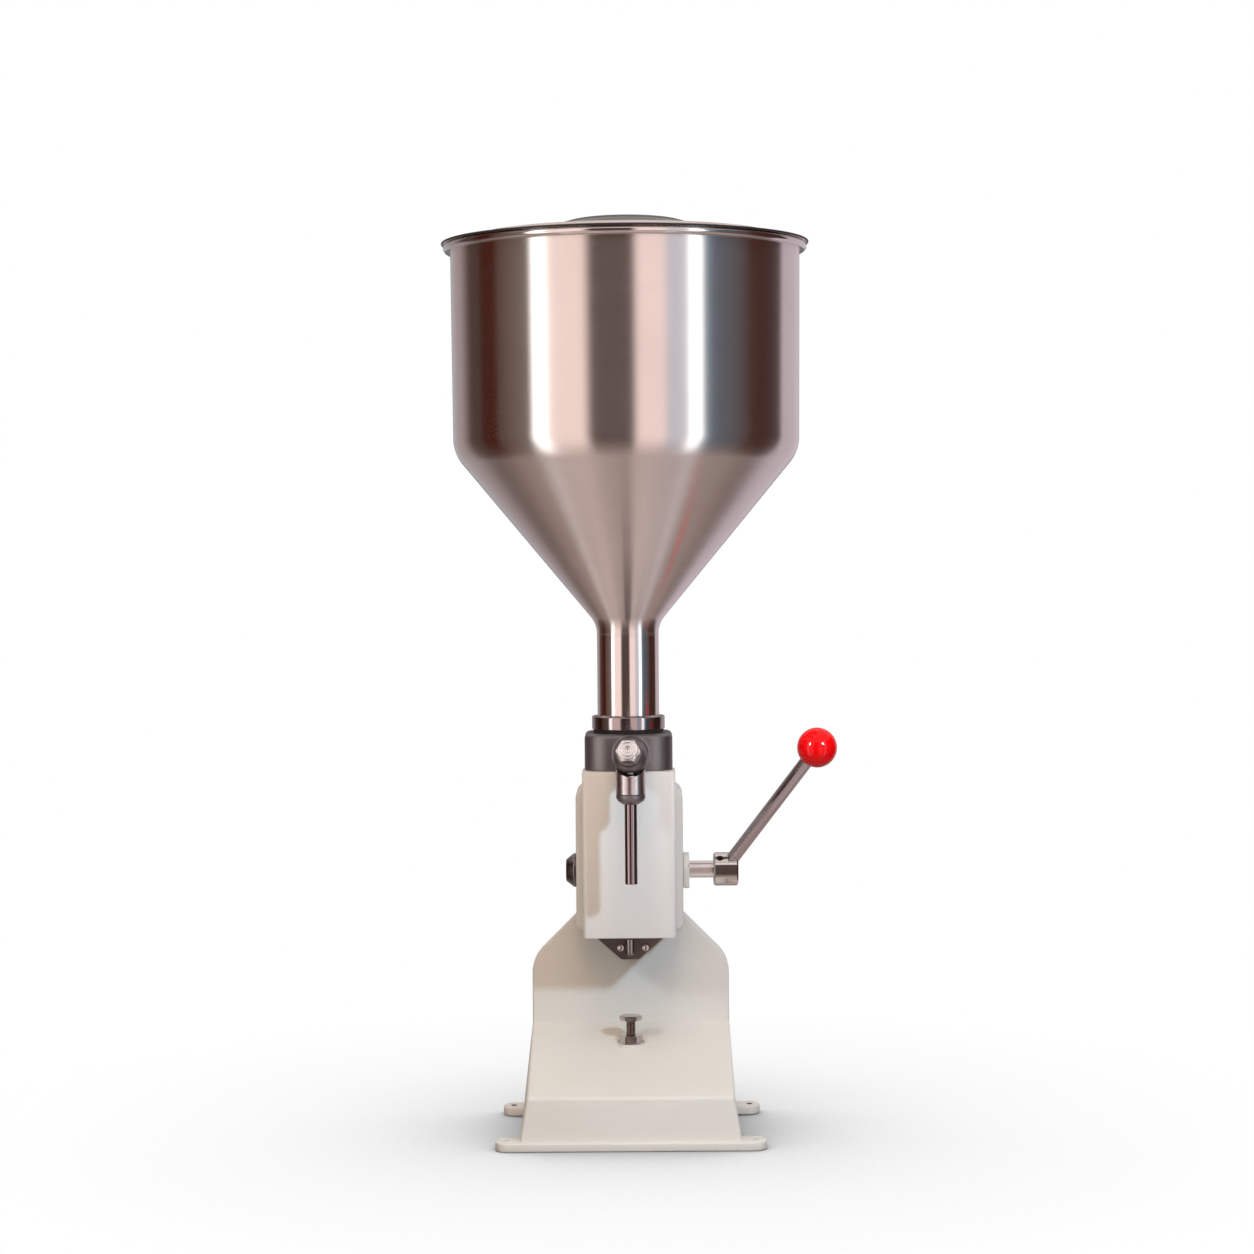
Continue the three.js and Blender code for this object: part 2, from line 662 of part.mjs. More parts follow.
// Nozzle socket: a tube whose top is cut to the elbow's round underside
function nozzleSocket() {
  const tube = solid(turned(tubeProfile(
    socketBore / 2, socketDiameter / 2, socketBottomHeight, elbowHeight - elbowRadius / 2))
    .translate(elbowX, elbowY, 0));
  return cut(tube, elbowSolid(seatGap));
}

function nozzleCollar() {
  const top = socketBottomHeight - seatGap;
  const bottom = socketBottomHeight - collarHeight;
  const bore = nozzleDiameter / 2 + seatGap;
  const outer = socketDiameter / 2 - collarBackset;
  const spout = nozzleBore / 2;
  const ledge = top - collarLedge;
  return solid(turned([
    [bore, bottom], [collarTipDiameter / 2, bottom], [outer - collarTaperHeight / 2, bottom + collarTaperHeight],
    [outer, bottom + 2 * collarTaperHeight], [outer, top], [spout, top], [spout, ledge], [bore, ledge],
    [bore, bottom],
  ]).translate(elbowX, elbowY, 0));
}

// A round wire wound about Z
function coilSpring(z0, z1) {
  class Helix extends THREE.Curve {
    getPoint(t, target = new THREE.Vector3()) {
      const angle = 2 * Math.PI * springCoils * t;
      const low = z0 + springWire / 2;
      const high = z1 - springWire / 2;
      return target.set(
        springMeanRadius * Math.cos(angle), springMeanRadius * Math.sin(angle), low + (high - low) * t);
    }
  }
  const wire = new THREE.Shape().absarc(0, 0, springWire / 2, 0, 2 * Math.PI);
  return new THREE.ExtrudeGeometry(wire, {
    steps: springCoils * 7, curveSegments: 3, extrudePath: new Helix(), bevelEnabled: false });
}

// Piston head with its seal groove and the seat of its screw
function pistonHead() {
  const bottom = pistonTop - pistonLength;
  const middle = pistonTop - pistonLength / 2;
  const groove = pistonRadius - sealGrooveDepth;
  const low = middle - sealHeight / 2 - seatGap;
  const high = middle + sealHeight / 2 + seatGap;
  const headSeat = pistonTop - pistonScrewHeadHeight - seatGap;
  const screwHead = pistonScrewHeadDiameter / 2 + seatGap;
  const screwBore = pistonScrewDiameter / 2 + seatGap;
  return solid(turned([
    [screwBore, bottom], [pistonRadius, bottom], [pistonRadius, low], [groove, low], [groove, high],
    [pistonRadius, high], [pistonRadius, pistonTop], [screwHead, pistonTop], [screwHead, headSeat],
    [screwBore, headSeat], [screwBore, bottom],
  ]));
}

// Involute pinion outline about its own centre, thinned by half the backlash
function pinionOutline() {
  const baseRadius = pitchRadius * Math.cos(rad(pressureAngleDegrees));
  const tipRadius = pitchRadius + gearModule;
  const rootRadius = pitchRadius - 1.25 * gearModule;
  const rollAt = (radius) => Math.sqrt(Math.max((radius / baseRadius) ** 2 - 1, 0));
  const involute = (radius) => rollAt(radius) - Math.atan(rollAt(radius));
  const halfTooth = Math.PI / (2 * pinionTeeth) - toothBacklash / (4 * pitchRadius);
  const flankSteps = 1;
  const shape = new THREE.Shape();
  for (let tooth = 0; tooth < pinionTeeth; tooth++) {
    const centre = (2 * Math.PI * tooth) / pinionTeeth;
    const flank = [];
    for (let k = 0; k <= flankSteps; k++) {
      const radius = baseRadius + ((tipRadius - baseRadius) * k) / flankSteps;
      flank.push([radius, halfTooth + involute(pitchRadius) - involute(radius)]);
    }
    const rising = [[rootRadius, flank[0][1]], ...flank];
    const outline = [
      ...rising.map(([radius, angle]) => [radius, centre - angle]),
      ...rising.reverse().map(([radius, angle]) => [radius, centre + angle]),
    ];
    outline.forEach(([radius, angle], i) => {
      const x = radius * Math.cos(angle);
      const y = radius * Math.sin(angle);
      if (tooth === 0 && i === 0) shape.moveTo(x, y);
      else shape.lineTo(x, y);
    });
  }
  return shape;
}

function pinion() {
  const toothTurn = Math.PI;
  const rim = extruded(pinionOutline(), pinionWidth).rotateZ(toothTurn);
  const teeth = solid(rim.applyMatrix4(shapeToYZ).translate(-pinionWidth / 2, shaftY, shaftHeight));
  const hub = rodX(pinionHubDiameter / 2, -pinionHubLength / 2, pinionHubLength / 2, shaftY, shaftHeight);
  const bore = rodX(
    shaftDiameter / 2 + seatGap, -pinionHubLength, pinionHubLength, shaftY, shaftHeight);
  return cut(join(teeth, hub), bore, keySolid(seatGap));
}

// Parallel key between the shaft and the pinion
function keySolid(grown) {
  const half = keyWidth / 2 + grown;
  const centre = shaftHeight + shaftDiameter / 2;
  return box(
    -pinionHubLength / 2 - grown, pinionHubLength / 2 + grown, shaftY - half, shaftY + half,
    centre - keyDepth - grown, centre + keyDepth + grown);
}

// Rack bar: square, toothed at the back, with a wider foot for the stop plate
function rackBar() {
  const half = rackWidth / 2;
  const bottom = columnBottomHeight - seatGap / 3;
  const top = pistonTop - pistonLength - seatGap;
  const pitch = Math.PI * gearModule;
  const addendum = gearModule;
  const dedendum = 1.25 * gearModule;
  const slope = Math.tan(rad(pressureAngleDegrees));
  const gapHalf = pitch / 4 + toothBacklash / 4;
  const firstTooth = shaftHeight - 2 * pitch;
  const gaps = Array.from({ length: rackTeeth + 1 }, (_, k) => {
    const z = firstTooth + (k - 1 / 2) * pitch + pitch / 2;
    const y = (depth) => rackPitchY + depth;
    return plateYZ(roundedOutline([
      [y(addendum + overrun), z - gapHalf - (addendum + overrun) * slope],
      [y(addendum + overrun), z + gapHalf + (addendum + overrun) * slope],
      [y(-dedendum), z + gapHalf - dedendum * slope],
      [y(-dedendum), z - gapHalf + dedendum * slope],
    ]), -half - overrun, half + overrun);
  });
  const bar = box(-half, half, -half, half, bottom, top);
  const footTop = stopPlateTop - seatGap;
  const footBack = stopPlateY + stopPlateThickness / 2 + seatGap + rackFootThickness;
  const foot = plateXZ(bladeOutline(rackFootInset, footTop), footBack - rackFootThickness, footBack);
  const neck = box(
    -rackNeckWidth / 2, rackNeckWidth / 2, -half + overrun, half, stopPlateTop - rackNeckHeight, bottom + overrun);
  const screwBore = rod(
    pistonScrewDiameter / 2 + seatGap, pistonTop - pistonScrewLength - seatGap, top + overrun, 0, 0, smallPolygon);
  const studBore = rod(
    stopStudDiameter / 4 + seatGap, stopPlateTop - rackNeckHeight - overrun, bottom + rackNeckHeight, 0, stopStudY,
    smallPolygon);
  const plateBores = plateScrewSides.map((side) => rodY(
    plateScrewDiameter / 2 + seatGap, 0, footBack + overrun, side, plateScrewHeight, smallPolygon));
  return cut(join(bar, foot, neck), ...gaps, screwBore, studBore, ...plateBores);
}

const plateScrewSides = [-1, 1].map((side) => plateScrewOffset + (side * plateScrewSpacing) / 2);
const plateScrewHeight = stopPlateBottom + plateScrewRise;

// Outline of the stop plate, drawn in by an inset: it tapers to a rounded tip.
function bladeOutline(inset, top) {
  const bottom = stopPlateBottom + inset;
  return roundedOutline([
    [inset - stopPlateTopWidth / 2, top],
    [inset - stopPlateTipWidth / 2, bottom, stopPlateTipRadius],
    [stopPlateTipWidth / 2 - inset, bottom, stopPlateTipRadius],
    [stopPlateTopWidth / 2 - inset, top],
  ]);
}

// Stop plate: stops the rack under the column's floor
function stopPlate() {
  const half = stopPlateThickness / 2;
  const blank = plateXZ(bladeOutline(0, stopPlateTop), stopPlateY - half, stopPlateY + half);
  const notchHalf = rackNeckWidth / 2 + seatGap;
  const notch = box(
    -notchHalf, notchHalf, 0, castWall, stopPlateTop - rackNeckHeight - seatGap, stopPlateTop + overrun);
  const bores = plateScrewSides.map((side) => rodY(
    plateScrewDiameter / 2 + seatGap, 0, castWall, side, plateScrewHeight, smallPolygon));
  return cut(blank, notch, ...bores);
}

function plateScrew(side) {
  const front = stopPlateY - stopPlateThickness / 2 - seatGap;
  const head = rodY(plateScrewHeadDiameter / 2, front - plateScrewHeadHeight, front, side, plateScrewHeight,
    smallPolygon);
  const shank = rodY(plateScrewDiameter / 2, front - overrun, front + stopPlateThickness + rackFootThickness, side,
    plateScrewHeight, smallPolygon);
  return join(head, shank);
}

// Stop stud: screwed into the rack's neck, round-nosed where it meets the adjusting bolt
function stopStud() {
  const radius = stopStudDiameter / 2;
  const top = stopPlateTop - rackNeckHeight - seatGap;
  const nose = stopPlateBottom + stopStudRise;
  const rounding = [1, 2, 3, 4].map((k) => {
    const angle = (k * Math.PI) / 8;
    return [radius * Math.sin(angle), nose + radius * (1 - Math.cos(angle))];
  });
  return solid(turned([
    [0, nose], ...rounding, [radius, top], [radius / 2, top],
    [radius / 2, top + rackNeckHeight], [0, top + rackNeckHeight],
  ], smallPolygon).translate(0, stopStudY, 0));
}

function bush(side) {
  const inner = shaftDiameter / 2 + seatGap;
  const geometry = turned(tubeProfile(inner, inner + bushWall, 0, castWall));
  geometry.rotateY((side * Math.PI) / 2);
  return solid(geometry.translate(side * columnCavityHalf, shaftY, shaftHeight));
}

function thrustWasher(side) {
  const inner = shaftDiameter / 2 + seatGap;
  const [x0] = spanX(side, columnCavityHalf - seatGap - washerThickness, columnCavityHalf - seatGap);
  const geometry = turned(tubeProfile(inner, washerDiameter / 2, 0, washerThickness)).rotateY(Math.PI / 2);
  return solid(geometry.translate(x0, shaftY, shaftHeight));
}

// Split bearing flange outside the right wall: round above its split, square below
function bearingFlange() {
  const radius = bearingFlangeDiameter / 2;
  const x0 = columnHalfWidth + seatGap;
  const x1 = x0 + bearingFlangeThickness;
  const round = rodX(radius, x0, x1, shaftY, shaftHeight);
  const square = box(x0, x1, shaftY - radius, shaftY + radius, shaftHeight - radius, shaftHeight);
  const bore = rodX(shaftDiameter / 2 + seatGap, x0 - overrun, x1 + overrun, shaftY, shaftHeight);
  const splitHeight = shaftHeight + shaftDiameter / 4;
  const split = box(x1 - overrun, x1 + overrun, shaftY - 2 * radius, shaftY + 2 * radius,
    splitHeight, splitHeight + bearingSplitWidth);
  return cut(join(round, square), bore, split);
}

function shaft() {
  const left = capWall - columnHalfWidth - capLength;
  const core = rodX(shaftDiameter / 2, left, shaftRightEnd, shaftY, shaftHeight);
  return cut(core, keySolid(seatGap));
}

function shaftCap() {
  const x1 = -columnHalfWidth - seatGap;
  const inner = shaftDiameter / 2 + seatGap;
  const face = capFaceDiameter / 2;
  const base = capBaseDiameter / 2;
  const profile = [
    [inner, 0], [base, 0], [base, capLength / 4], [face, capLength], [0, capLength],
    [0, capLength - capWall], [inner, capLength - capWall], [inner, 0],
  ];
  const geometry = turned(profile, roundPolygon).rotateY(-Math.PI / 2);
  return solid(geometry.translate(x1, shaftY, shaftHeight));
}

// The lever swings about the shaft; its bar leans outwards from its swing plane and forwards at rest.
const hubCentreX = hubLeftX + hubLength / 2;
const leverRootX = hubCentreX - overrun;
const leverDirection = new THREE.Vector3(
  Math.sin(rad(leverOutwardDegrees)),
  -Math.cos(rad(leverOutwardDegrees)) * Math.sin(rad(leverForwardDegrees)),
  Math.cos(rad(leverOutwardDegrees)) * Math.cos(rad(leverForwardDegrees)));
const alongLever = (geometry) => geometry
  .rotateZ(rad(leverRollDegrees))
  .applyQuaternion(new THREE.Quaternion().setFromUnitVectors(new THREE.Vector3(0, 0, 1), leverDirection))
  .translate(leverRootX, shaftY, shaftHeight);

function leverBarBlank(grown) {
  const half = leverBarWidth / 2 + grown;
  const shoulder = leverReach - ballDiameter / 2 + overrun;
  const bar = new THREE.BoxGeometry(2 * half, 2 * half, shoulder).translate(0, 0, shoulder / 2);
  const spigot = turned(rodProfile(
    leverSpigotDiameter / 2, shoulder - overrun, leverReach - ballDiameter / 2 + ballSocketDepth), smallPolygon);
  return join(solid(alongLever(bar)), solid(alongLever(spigot)));
}

// Lever bar: square, with a round spigot for the ball, its foot hollowed to clear the shaft
function leverBar() {
  return cut(leverBarBlank(0), rodX(
    shaftDiameter / 2 + 2 * seatGap, hubLeftX - hubLength, shaftRightEnd + hubLength, shaftY, shaftHeight));
}

function leverHub() {
  const radius = hubDiameter / 2;
  const profile = [
    [0, 0], [radius - hubChamfer, 0], [radius, hubChamfer], [radius, hubLength - hubChamfer],
    [radius - hubChamfer, hubLength], [0, hubLength]];
  const body = solid(turned(profile).rotateY(Math.PI / 2).translate(hubLeftX, shaftY, shaftHeight));
  const bore = rodX(shaftDiameter / 2 + seatGap, hubLeftX - overrun, shaftRightEnd + seatGap, shaftY, shaftHeight);
  return cut(body, bore, leverBarBlank(seatGap), hubScrewSolid(seatGap));
}

// Set screw of the hub, on its front and upper side
function hubScrewSolid(grown) {
  const radius = hubScrewDiameter / 2 + grown;
  const reach = [shaftDiameter / 2 + 2 * seatGap - grown, hubDiameter / 2 - overrun + grown * overrun * 4];
  const geometry = turned(rodProfile(radius, ...reach), smallPolygon);
  geometry.rotateX(rad(hubScrewAngleDegrees));
  return solid(geometry.translate(hubLeftX + hubLength / 4, shaftY, shaftHeight));
}

function ballKnob() {
  const sphere = solid(alongLever(new THREE.SphereGeometry(ballDiameter / 2, roundPolygon, roundPolygon / 2)
    .rotateX(Math.PI / 2).translate(0, 0, leverReach)));
  const start = leverReach - ballDiameter / 2;
  const socket = solid(alongLever(turned(rodProfile(
    leverSpigotDiameter / 2 + seatGap, start - overrun, start + ballSocketDepth + seatGap), smallPolygon)));
  const flat = solid(alongLever(turned(rodProfile(
    ballDiameter / 2, start - overrun, start + overrun + seatGap), smallPolygon)));
  return cut(sphere, socket, flat);
}

// Hopper bowl: short foot, cone, rounded knee, slightly tapered wall and a rolled rim, all of one sheet
function hopperBowl() {
  const angle = rad(coneHalfAngleDegrees);
  const mouth = neckDiameter / 2;
  const kneeHeight = coneBottomHeight + (bowlBottomRadius - mouth) / Math.tan(angle);
  const kneeCentre = new THREE.Vector2(
    bowlBottomRadius - bowlKneeRadius, kneeHeight + bowlKneeRadius * Math.tan(angle / 2));
  const kneeArc = (radius) => [0, 1, 2].map((k) => {
    const turn = -angle * (1 - k / 2);
    return [kneeCentre.x + radius * Math.cos(turn), kneeCentre.y + radius * Math.sin(turn)];
  });
  const footCentre = new THREE.Vector2(
    mouth + bowlFootRadius, coneBottomHeight - bowlFootRadius * Math.tan(angle / 2));
  const footArc = (radius) => [0, 1, 2].map((k) => {
    const turn = (angle * k) / 2;
    return [footCentre.x - radius * Math.cos(turn), footCentre.y + radius * Math.sin(turn)];
  });
  const wallTop = rimHeight - rimBeadRadius;
  const beadCentre = rimRadius - rimBeadRadius;
  const bead = [-1.5, -0.5, 0.5, 1.5].map((k) => {
    const turn = (k * Math.PI) / 3;
    return [beadCentre + rimBeadRadius * Math.cos(turn), rimHeight + rimBeadRadius * Math.sin(turn)];
  });
  const inside = bowlTopRadius - sheetWall;
  const profile = [
    [mouth - sheetWall, bowlFootHeight], [mouth, bowlFootHeight], ...footArc(bowlFootRadius),
    ...kneeArc(bowlKneeRadius), [bowlTopRadius, wallTop], ...bead, [inside, rimHeight + rimBeadRadius / 2],
    ...kneeArc(bowlKneeRadius - sheetWall).reverse(), ...footArc(bowlFootRadius + sheetWall).reverse(),
    [mouth - sheetWall, bowlFootHeight],
  ];
  return solid(turned(profile, finePolygon));
}

function neckTube() {
  const inner = neckDiameter / 2 - neckWall;
  return solid(turned(tubeProfile(
    inner, neckDiameter / 2, blockTop - neckSocketDepth + seatGap, bowlFootHeight - seatGap)));
}

function collarRing() {
  const inner = neckDiameter / 2 + seatGap;
  const outer = collarRingDiameter / 2;
  const low = gasketTop + seatGap;
  const high = low + collarRingHeight;
  const fillet = collarRingFillet;
  return solid(turned([
    [inner, low], [outer - fillet, low], [outer, low + fillet], [outer, high - fillet], [outer - fillet, high],
    [inner + fillet, high], [inner, high + fillet], [inner, low],
  ]));
}

// Lid: hemmed edge on the rim, locating lip inside it, raised step and a low central dome
function lid() {
  const seat = rimHeight + rimBeadRadius + seatGap;
  const edge = rimRadius + lidOverhang;
  const hemInner = edge - lidHemWidth;
  const lipOuter = bowlTopRadius - sheetWall - 2 * seatGap;
  const lipInner = lipOuter - lidSheet;
  const stepTop = seat + lidStepHeight;
  const stepOuter = lipOuter - lidSeatWidth;
  const stepInner = stepOuter - lidStepWidth;
  const domeFoot = stepTop + lidDomeFootRise;
  const rise = lidTopHeight - domeFoot;
  const domeShares = [1, 0.9, 0.6, 0.25];
  const dome = domeShares.map((share) => {
    const radius = lidCrownRadius + (lidDomeRadius - lidCrownRadius) * share;
    return [radius, domeFoot + rise * Math.sqrt(1 - (radius / lidDomeRadius) ** lidDomePower)];
  });
  const over = [
    [0, lidTopHeight], [lidCrownRadius, lidTopHeight - rise / 40], ...dome.slice().reverse(),
    [stepInner, stepTop], [stepOuter, seat + lidSheet], [hemInner, seat + lidSheet],
    [hemInner + lidHemWidth / 3, seat + lidHemHeight], [edge - lidHemWidth / 3, seat + lidHemHeight],
    [edge, seat + lidHemHeight / 2], [edge - lidHemWidth / 3, seat],
  ];
  const under = [
    [lipOuter, seat], [lipOuter, seat - lidLipDepth], [lipInner, seat - lidLipDepth], [lipInner, seat],
    [stepOuter - lidSheet, seat], [stepInner - lidSheet, stepTop - lidSheet],
    ...dome.map(([radius, height]) => [radius - lidSheet / 2, height - lidSheet]),
    [lidCrownRadius, lidTopHeight - rise / 40 - lidSheet], [0, lidTopHeight - lidSheet],
  ];
  return solid(turned([...over, ...under], finePolygon));
}

function adjustingBolt() {
  const under = boltHeadTopHeight - boltHeadHeight;
  const head = hexagon(boltHeadAcrossFlats, under, boltHeadTopHeight, boltHeadChamfer, true);
  const shank = solid(turned([
    [0, under - boltLength], [boltDiameter / 2 - boltHeadChamfer, under - boltLength],
    [boltDiameter / 2, under - boltLength + boltHeadChamfer], [boltDiameter / 2, under + overrun],
    [0, under + overrun],
  ]));
  return join(head, shank);
}

function lockNut() {
  const bottom = deckAt(0) + seatGap;
  const body = hexagon(lockNutAcrossFlats, bottom, bottom + lockNutHeight, lockNutChamfer);
  return cut(body, rod(boltDiameter / 2 + seatGap, 0, deckBackHeight + castWall, 0, 0, smallPolygon));
}

const ring = (inner, outer, z0, z1, segments) => solid(turned(tubeProfile(inner, outer, z0, z1), segments));

add("frame_casting", frameCasting(), creamPaint);
add("front_cover", frontCover(), creamPaint);
coverScrewPlaces.forEach(([side, z], i) => add(`cover_screw_${i + 1}`, coverScrew(side, z), brushedSteel));
add("valve_block", valveBlock(), satinSteel);
blockScrewPlaces.forEach(([x, y], i) => {
  const under = headUnderside - seatGap;
  const head = rod(blockScrewHeadDiameter / 2, under - blockScrewHeadHeight, under, x, y, smallPolygon);
  const shank = rod(blockScrewDiameter / 2, under - overrun, headUnderside + blockScrewLength, x, y, smallPolygon);
  add(`block_screw_${i + 1}`, join(head, shank), brushedSteel);
});
add("barrel", join(
  ring(barrelBore / 2, barrelBore / 2 + barrelWall, barrelBottom, barrelTop),
  ring(barrelBore / 2, barrelFlangeDiameter / 2, barrelTop - barrelFlangeThickness, barrelTop)), polishedSteel);
add("barrel_gasket", ring(
  barrelBore / 2 + seatGap, barrelFlangeDiameter / 2, barrelTop + seatGap, headHeight), blackRubber);
add("hopper_gasket", ring(
  neckDiameter / 2 + seatGap, collarRingDiameter / 2 - collarRingFillet, blockTop + seatGap, gasketTop),
blackRubber);
add("hex_plug", hexPlug(), polishedSteel);
add("nozzle_socket", nozzleSocket(), polishedSteel);
add("nozzle_collar", nozzleCollar(), satinSteel);
add("nozzle_tube", solid(turned(tubeProfile(
  nozzleBore / 2, nozzleDiameter / 2, nozzleTipHeight, socketBottomHeight - collarLedge - 2 * seatGap))
  .translate(elbowX, elbowY, 0)), polishedSteel);
const ballCentre = outletSeatHeight
  - Math.sqrt((outletBallDiameter / 2) ** 2 - (outletSeatDiameter / 2) ** 2) - seatGap;
add("outlet_ball", solid(new THREE.SphereGeometry(outletBallDiameter / 2, smallPolygon, smallPolygon / 2)
  .rotateX(Math.PI / 2).translate(elbowX, elbowY, ballCentre)), polishedSteel);
const springTop = ballCentre - Math.sqrt((outletBallDiameter / 2) ** 2 - springMeanRadius ** 2) - springWire / 2;
add("outlet_spring", solid(coilSpring(socketBottomHeight, springTop).translate(elbowX, elbowY, 0)), polishedSteel);
add("inlet_disc", rod(inletDiscDiameter / 2, inletDiscTop - inletDiscThickness, inletDiscTop), whitePlastic);
add("inlet_stop_pin", rodX(
  stopPinDiameter / 2, -stopPinLength / 2, stopPinLength / 2, 0, stopPinHeight, smallPolygon), polishedSteel);
const guideFlangeTop = floorTop + seatGap + guideFlangeThickness;
const guideBore = rackWidth / 2 + seatGap;
add("rack_guide", cut(
  join(
    box(-guideWidth / 2, guideWidth / 2, -guideWidth / 2, guideWidth / 2, columnBottomHeight, guideFlangeTop),
    box(-guideFlange / 2, guideFlange / 2, -guideFlange / 2, guideFlange / 2, floorTop + seatGap, guideFlangeTop)),
  box(-guideBore, guideBore, -guideBore, guideBore, columnBottomHeight - overrun, guideFlangeTop + overrun)),
bronze);
add("left_bush", bush(-1), bronze);
add("right_bush", bush(1), bronze);
add("bearing_flange", bearingFlange(), creamPaint);
add("piston_head", pistonHead(), polishedSteel);
add("piston_seal", ring(
  pistonRadius - sealGrooveDepth + seatGap, barrelBore / 2 - seatGap,
  pistonTop - pistonLength / 2 - sealHeight / 2, pistonTop - pistonLength / 2 + sealHeight / 2), blackRubber);
add("piston_screw", join(
  rod(pistonScrewHeadDiameter / 2, pistonTop - pistonScrewHeadHeight, pistonTop),
  rod(pistonScrewDiameter / 2, pistonTop - pistonScrewLength, pistonTop - overrun, 0, 0, smallPolygon)),
polishedSteel);
add("rack_bar", rackBar(), darkSteel);
add("stop_plate", stopPlate(), darkSteel);
plateScrewSides.forEach((side, i) => add(`stop_plate_screw_${i + 1}`, plateScrew(side), brushedSteel));
add("stop_stud", stopStud(), polishedSteel);
add("pinion", pinion(), darkSteel);
add("pinion_key", keySolid(0), darkSteel);
add("shaft", shaft(), polishedSteel);
add("left_thrust_washer", thrustWasher(-1), bronze);
add("right_thrust_washer", thrustWasher(1), bronze);
add("shaft_cap", shaftCap(), darkSteel);
add("lever_hub", leverHub(), polishedSteel);
add("hub_set_screw", hubScrewSolid(0), darkSteel);
add("lever_bar", leverBar(), polishedSteel);
add("ball_knob", ballKnob(), redGloss);
add("hopper_bowl", hopperBowl(), brushedSteel);
add("neck_tube", neckTube(), polishedSteel);
add("collar_ring", collarRing(), polishedSteel);
add("lid", lid(), brushedSteel);
add("adjusting_bolt", adjustingBolt(), brushedSteel);
add("lock_nut", lockNut(), brushedSteel);

machine.position.set(0, -(frontFootY + frontFootDepth / 2), 0);

export default machine;
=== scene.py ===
"""Dresses a bench-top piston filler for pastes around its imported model.

The model's frame is in metres: +Z up, +X to the right of someone facing the nozzle, +Y to the back. Sizes
here are in millimetres: the pieces are laid out about the barrel's axis and then moved onto it. GAP and the
closer FIT stand between neighbours, and a cutter runs THROUGH past the face that it opens.
"""

import logging
import math
from collections.abc import Callable
from dataclasses import dataclass
from enum import Enum

import bmesh
import bpy
from mathutils import Matrix, Quaternion, Vector


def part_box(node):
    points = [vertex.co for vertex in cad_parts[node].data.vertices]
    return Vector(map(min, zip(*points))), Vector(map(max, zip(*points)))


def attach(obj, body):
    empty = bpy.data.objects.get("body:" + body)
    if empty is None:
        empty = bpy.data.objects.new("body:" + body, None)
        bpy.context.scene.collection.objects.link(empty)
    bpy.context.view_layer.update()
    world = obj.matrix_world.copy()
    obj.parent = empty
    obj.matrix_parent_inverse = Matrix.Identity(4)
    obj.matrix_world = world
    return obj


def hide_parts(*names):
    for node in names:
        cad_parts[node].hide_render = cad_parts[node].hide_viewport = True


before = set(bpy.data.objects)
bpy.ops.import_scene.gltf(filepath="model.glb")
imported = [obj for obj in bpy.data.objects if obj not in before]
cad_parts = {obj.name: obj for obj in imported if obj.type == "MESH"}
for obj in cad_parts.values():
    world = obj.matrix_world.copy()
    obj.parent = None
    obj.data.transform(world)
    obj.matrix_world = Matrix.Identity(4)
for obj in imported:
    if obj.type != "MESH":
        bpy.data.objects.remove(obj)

LOG = logging.getLogger("filler")
MM = 0.001
GAP = 0.3
FIT = 0.25
THROUGH = 1.0
FULL_TURN = math.tau
MERGE_DISTANCE = 1e-7


class Steps(Enum):
    """How finely a turned piece is divided round its axis."""

    BOWL = 160
    ROUND = 96
    SMALL = 56


class Axis(Enum):
    """The axis that a turned or extruded piece is laid along."""

    X = "x"
    Y = "y"
    Z = "z"


ROUND_THE_CORNERS = ((-1, -1), (1, -1), (1, 1), (-1, 1))
LAY = {
    Axis.X: Matrix.Rotation(math.radians(90), 4, "Y"),
    Axis.Y: Matrix.Rotation(math.radians(-90), 4, "X"),
    Axis.Z: Matrix.Identity(4),
}


@dataclass(frozen=True)
class Corner:
    """One corner of an outline, in millimetres, with the radius that rounds it."""

    across: float
    up: float
    radius: float = 0.0


def box_of(node: str) -> tuple[Vector, Vector]:
    """Give a node's lowest and highest corners.

    Args:
        node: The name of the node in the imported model.

    Returns:
        The two corners, in metres.
    """
    low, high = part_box(node)
    return Vector(low), Vector(high)


def middle_of(node: str) -> Vector:
    """Give the middle of a node's box."""
    low, high = box_of(node)
    return (low + high) / 2


BARREL_AXIS = Vector((0.0, middle_of("neck_tube").y, 0.0))


def outline_face(bm: bmesh.types.BMesh, corners: list[Corner], segments: int) -> bmesh.types.BMFace:
    """Draw a flat face through corners in the XZ plane and round the ones that have a radius.

    Args:
        bm: The mesh to draw in.
        corners: The corners in order round the outline.
        segments: How many edges a rounded corner gets.

    Returns:
        The finished face.
    """
    verts = [bm.verts.new((c.across * MM, 0.0, c.up * MM)) for c in corners]
    bm.faces.new(verts)
    count = len(corners)
    for index, corner in enumerate(corners):
        if corner.radius == 0:
            continue
        here = Vector((corner.across, corner.up))
        before, after = corners[index - 1], corners[(index + 1) % count]
        angle = (Vector((before.across, before.up)) - here).angle(Vector((after.across, after.up)) - here)
        offset = corner.radius / math.tan(angle / 2)
        bmesh.ops.bevel(
            bm, geom=[verts[index]], offset=offset * MM, offset_type="OFFSET", segments=segments,
            profile=0.5, affect="VERTICES", material=-1, clamp_overlap=True)
    bm.faces.ensure_lookup_table()
    return bm.faces[0]


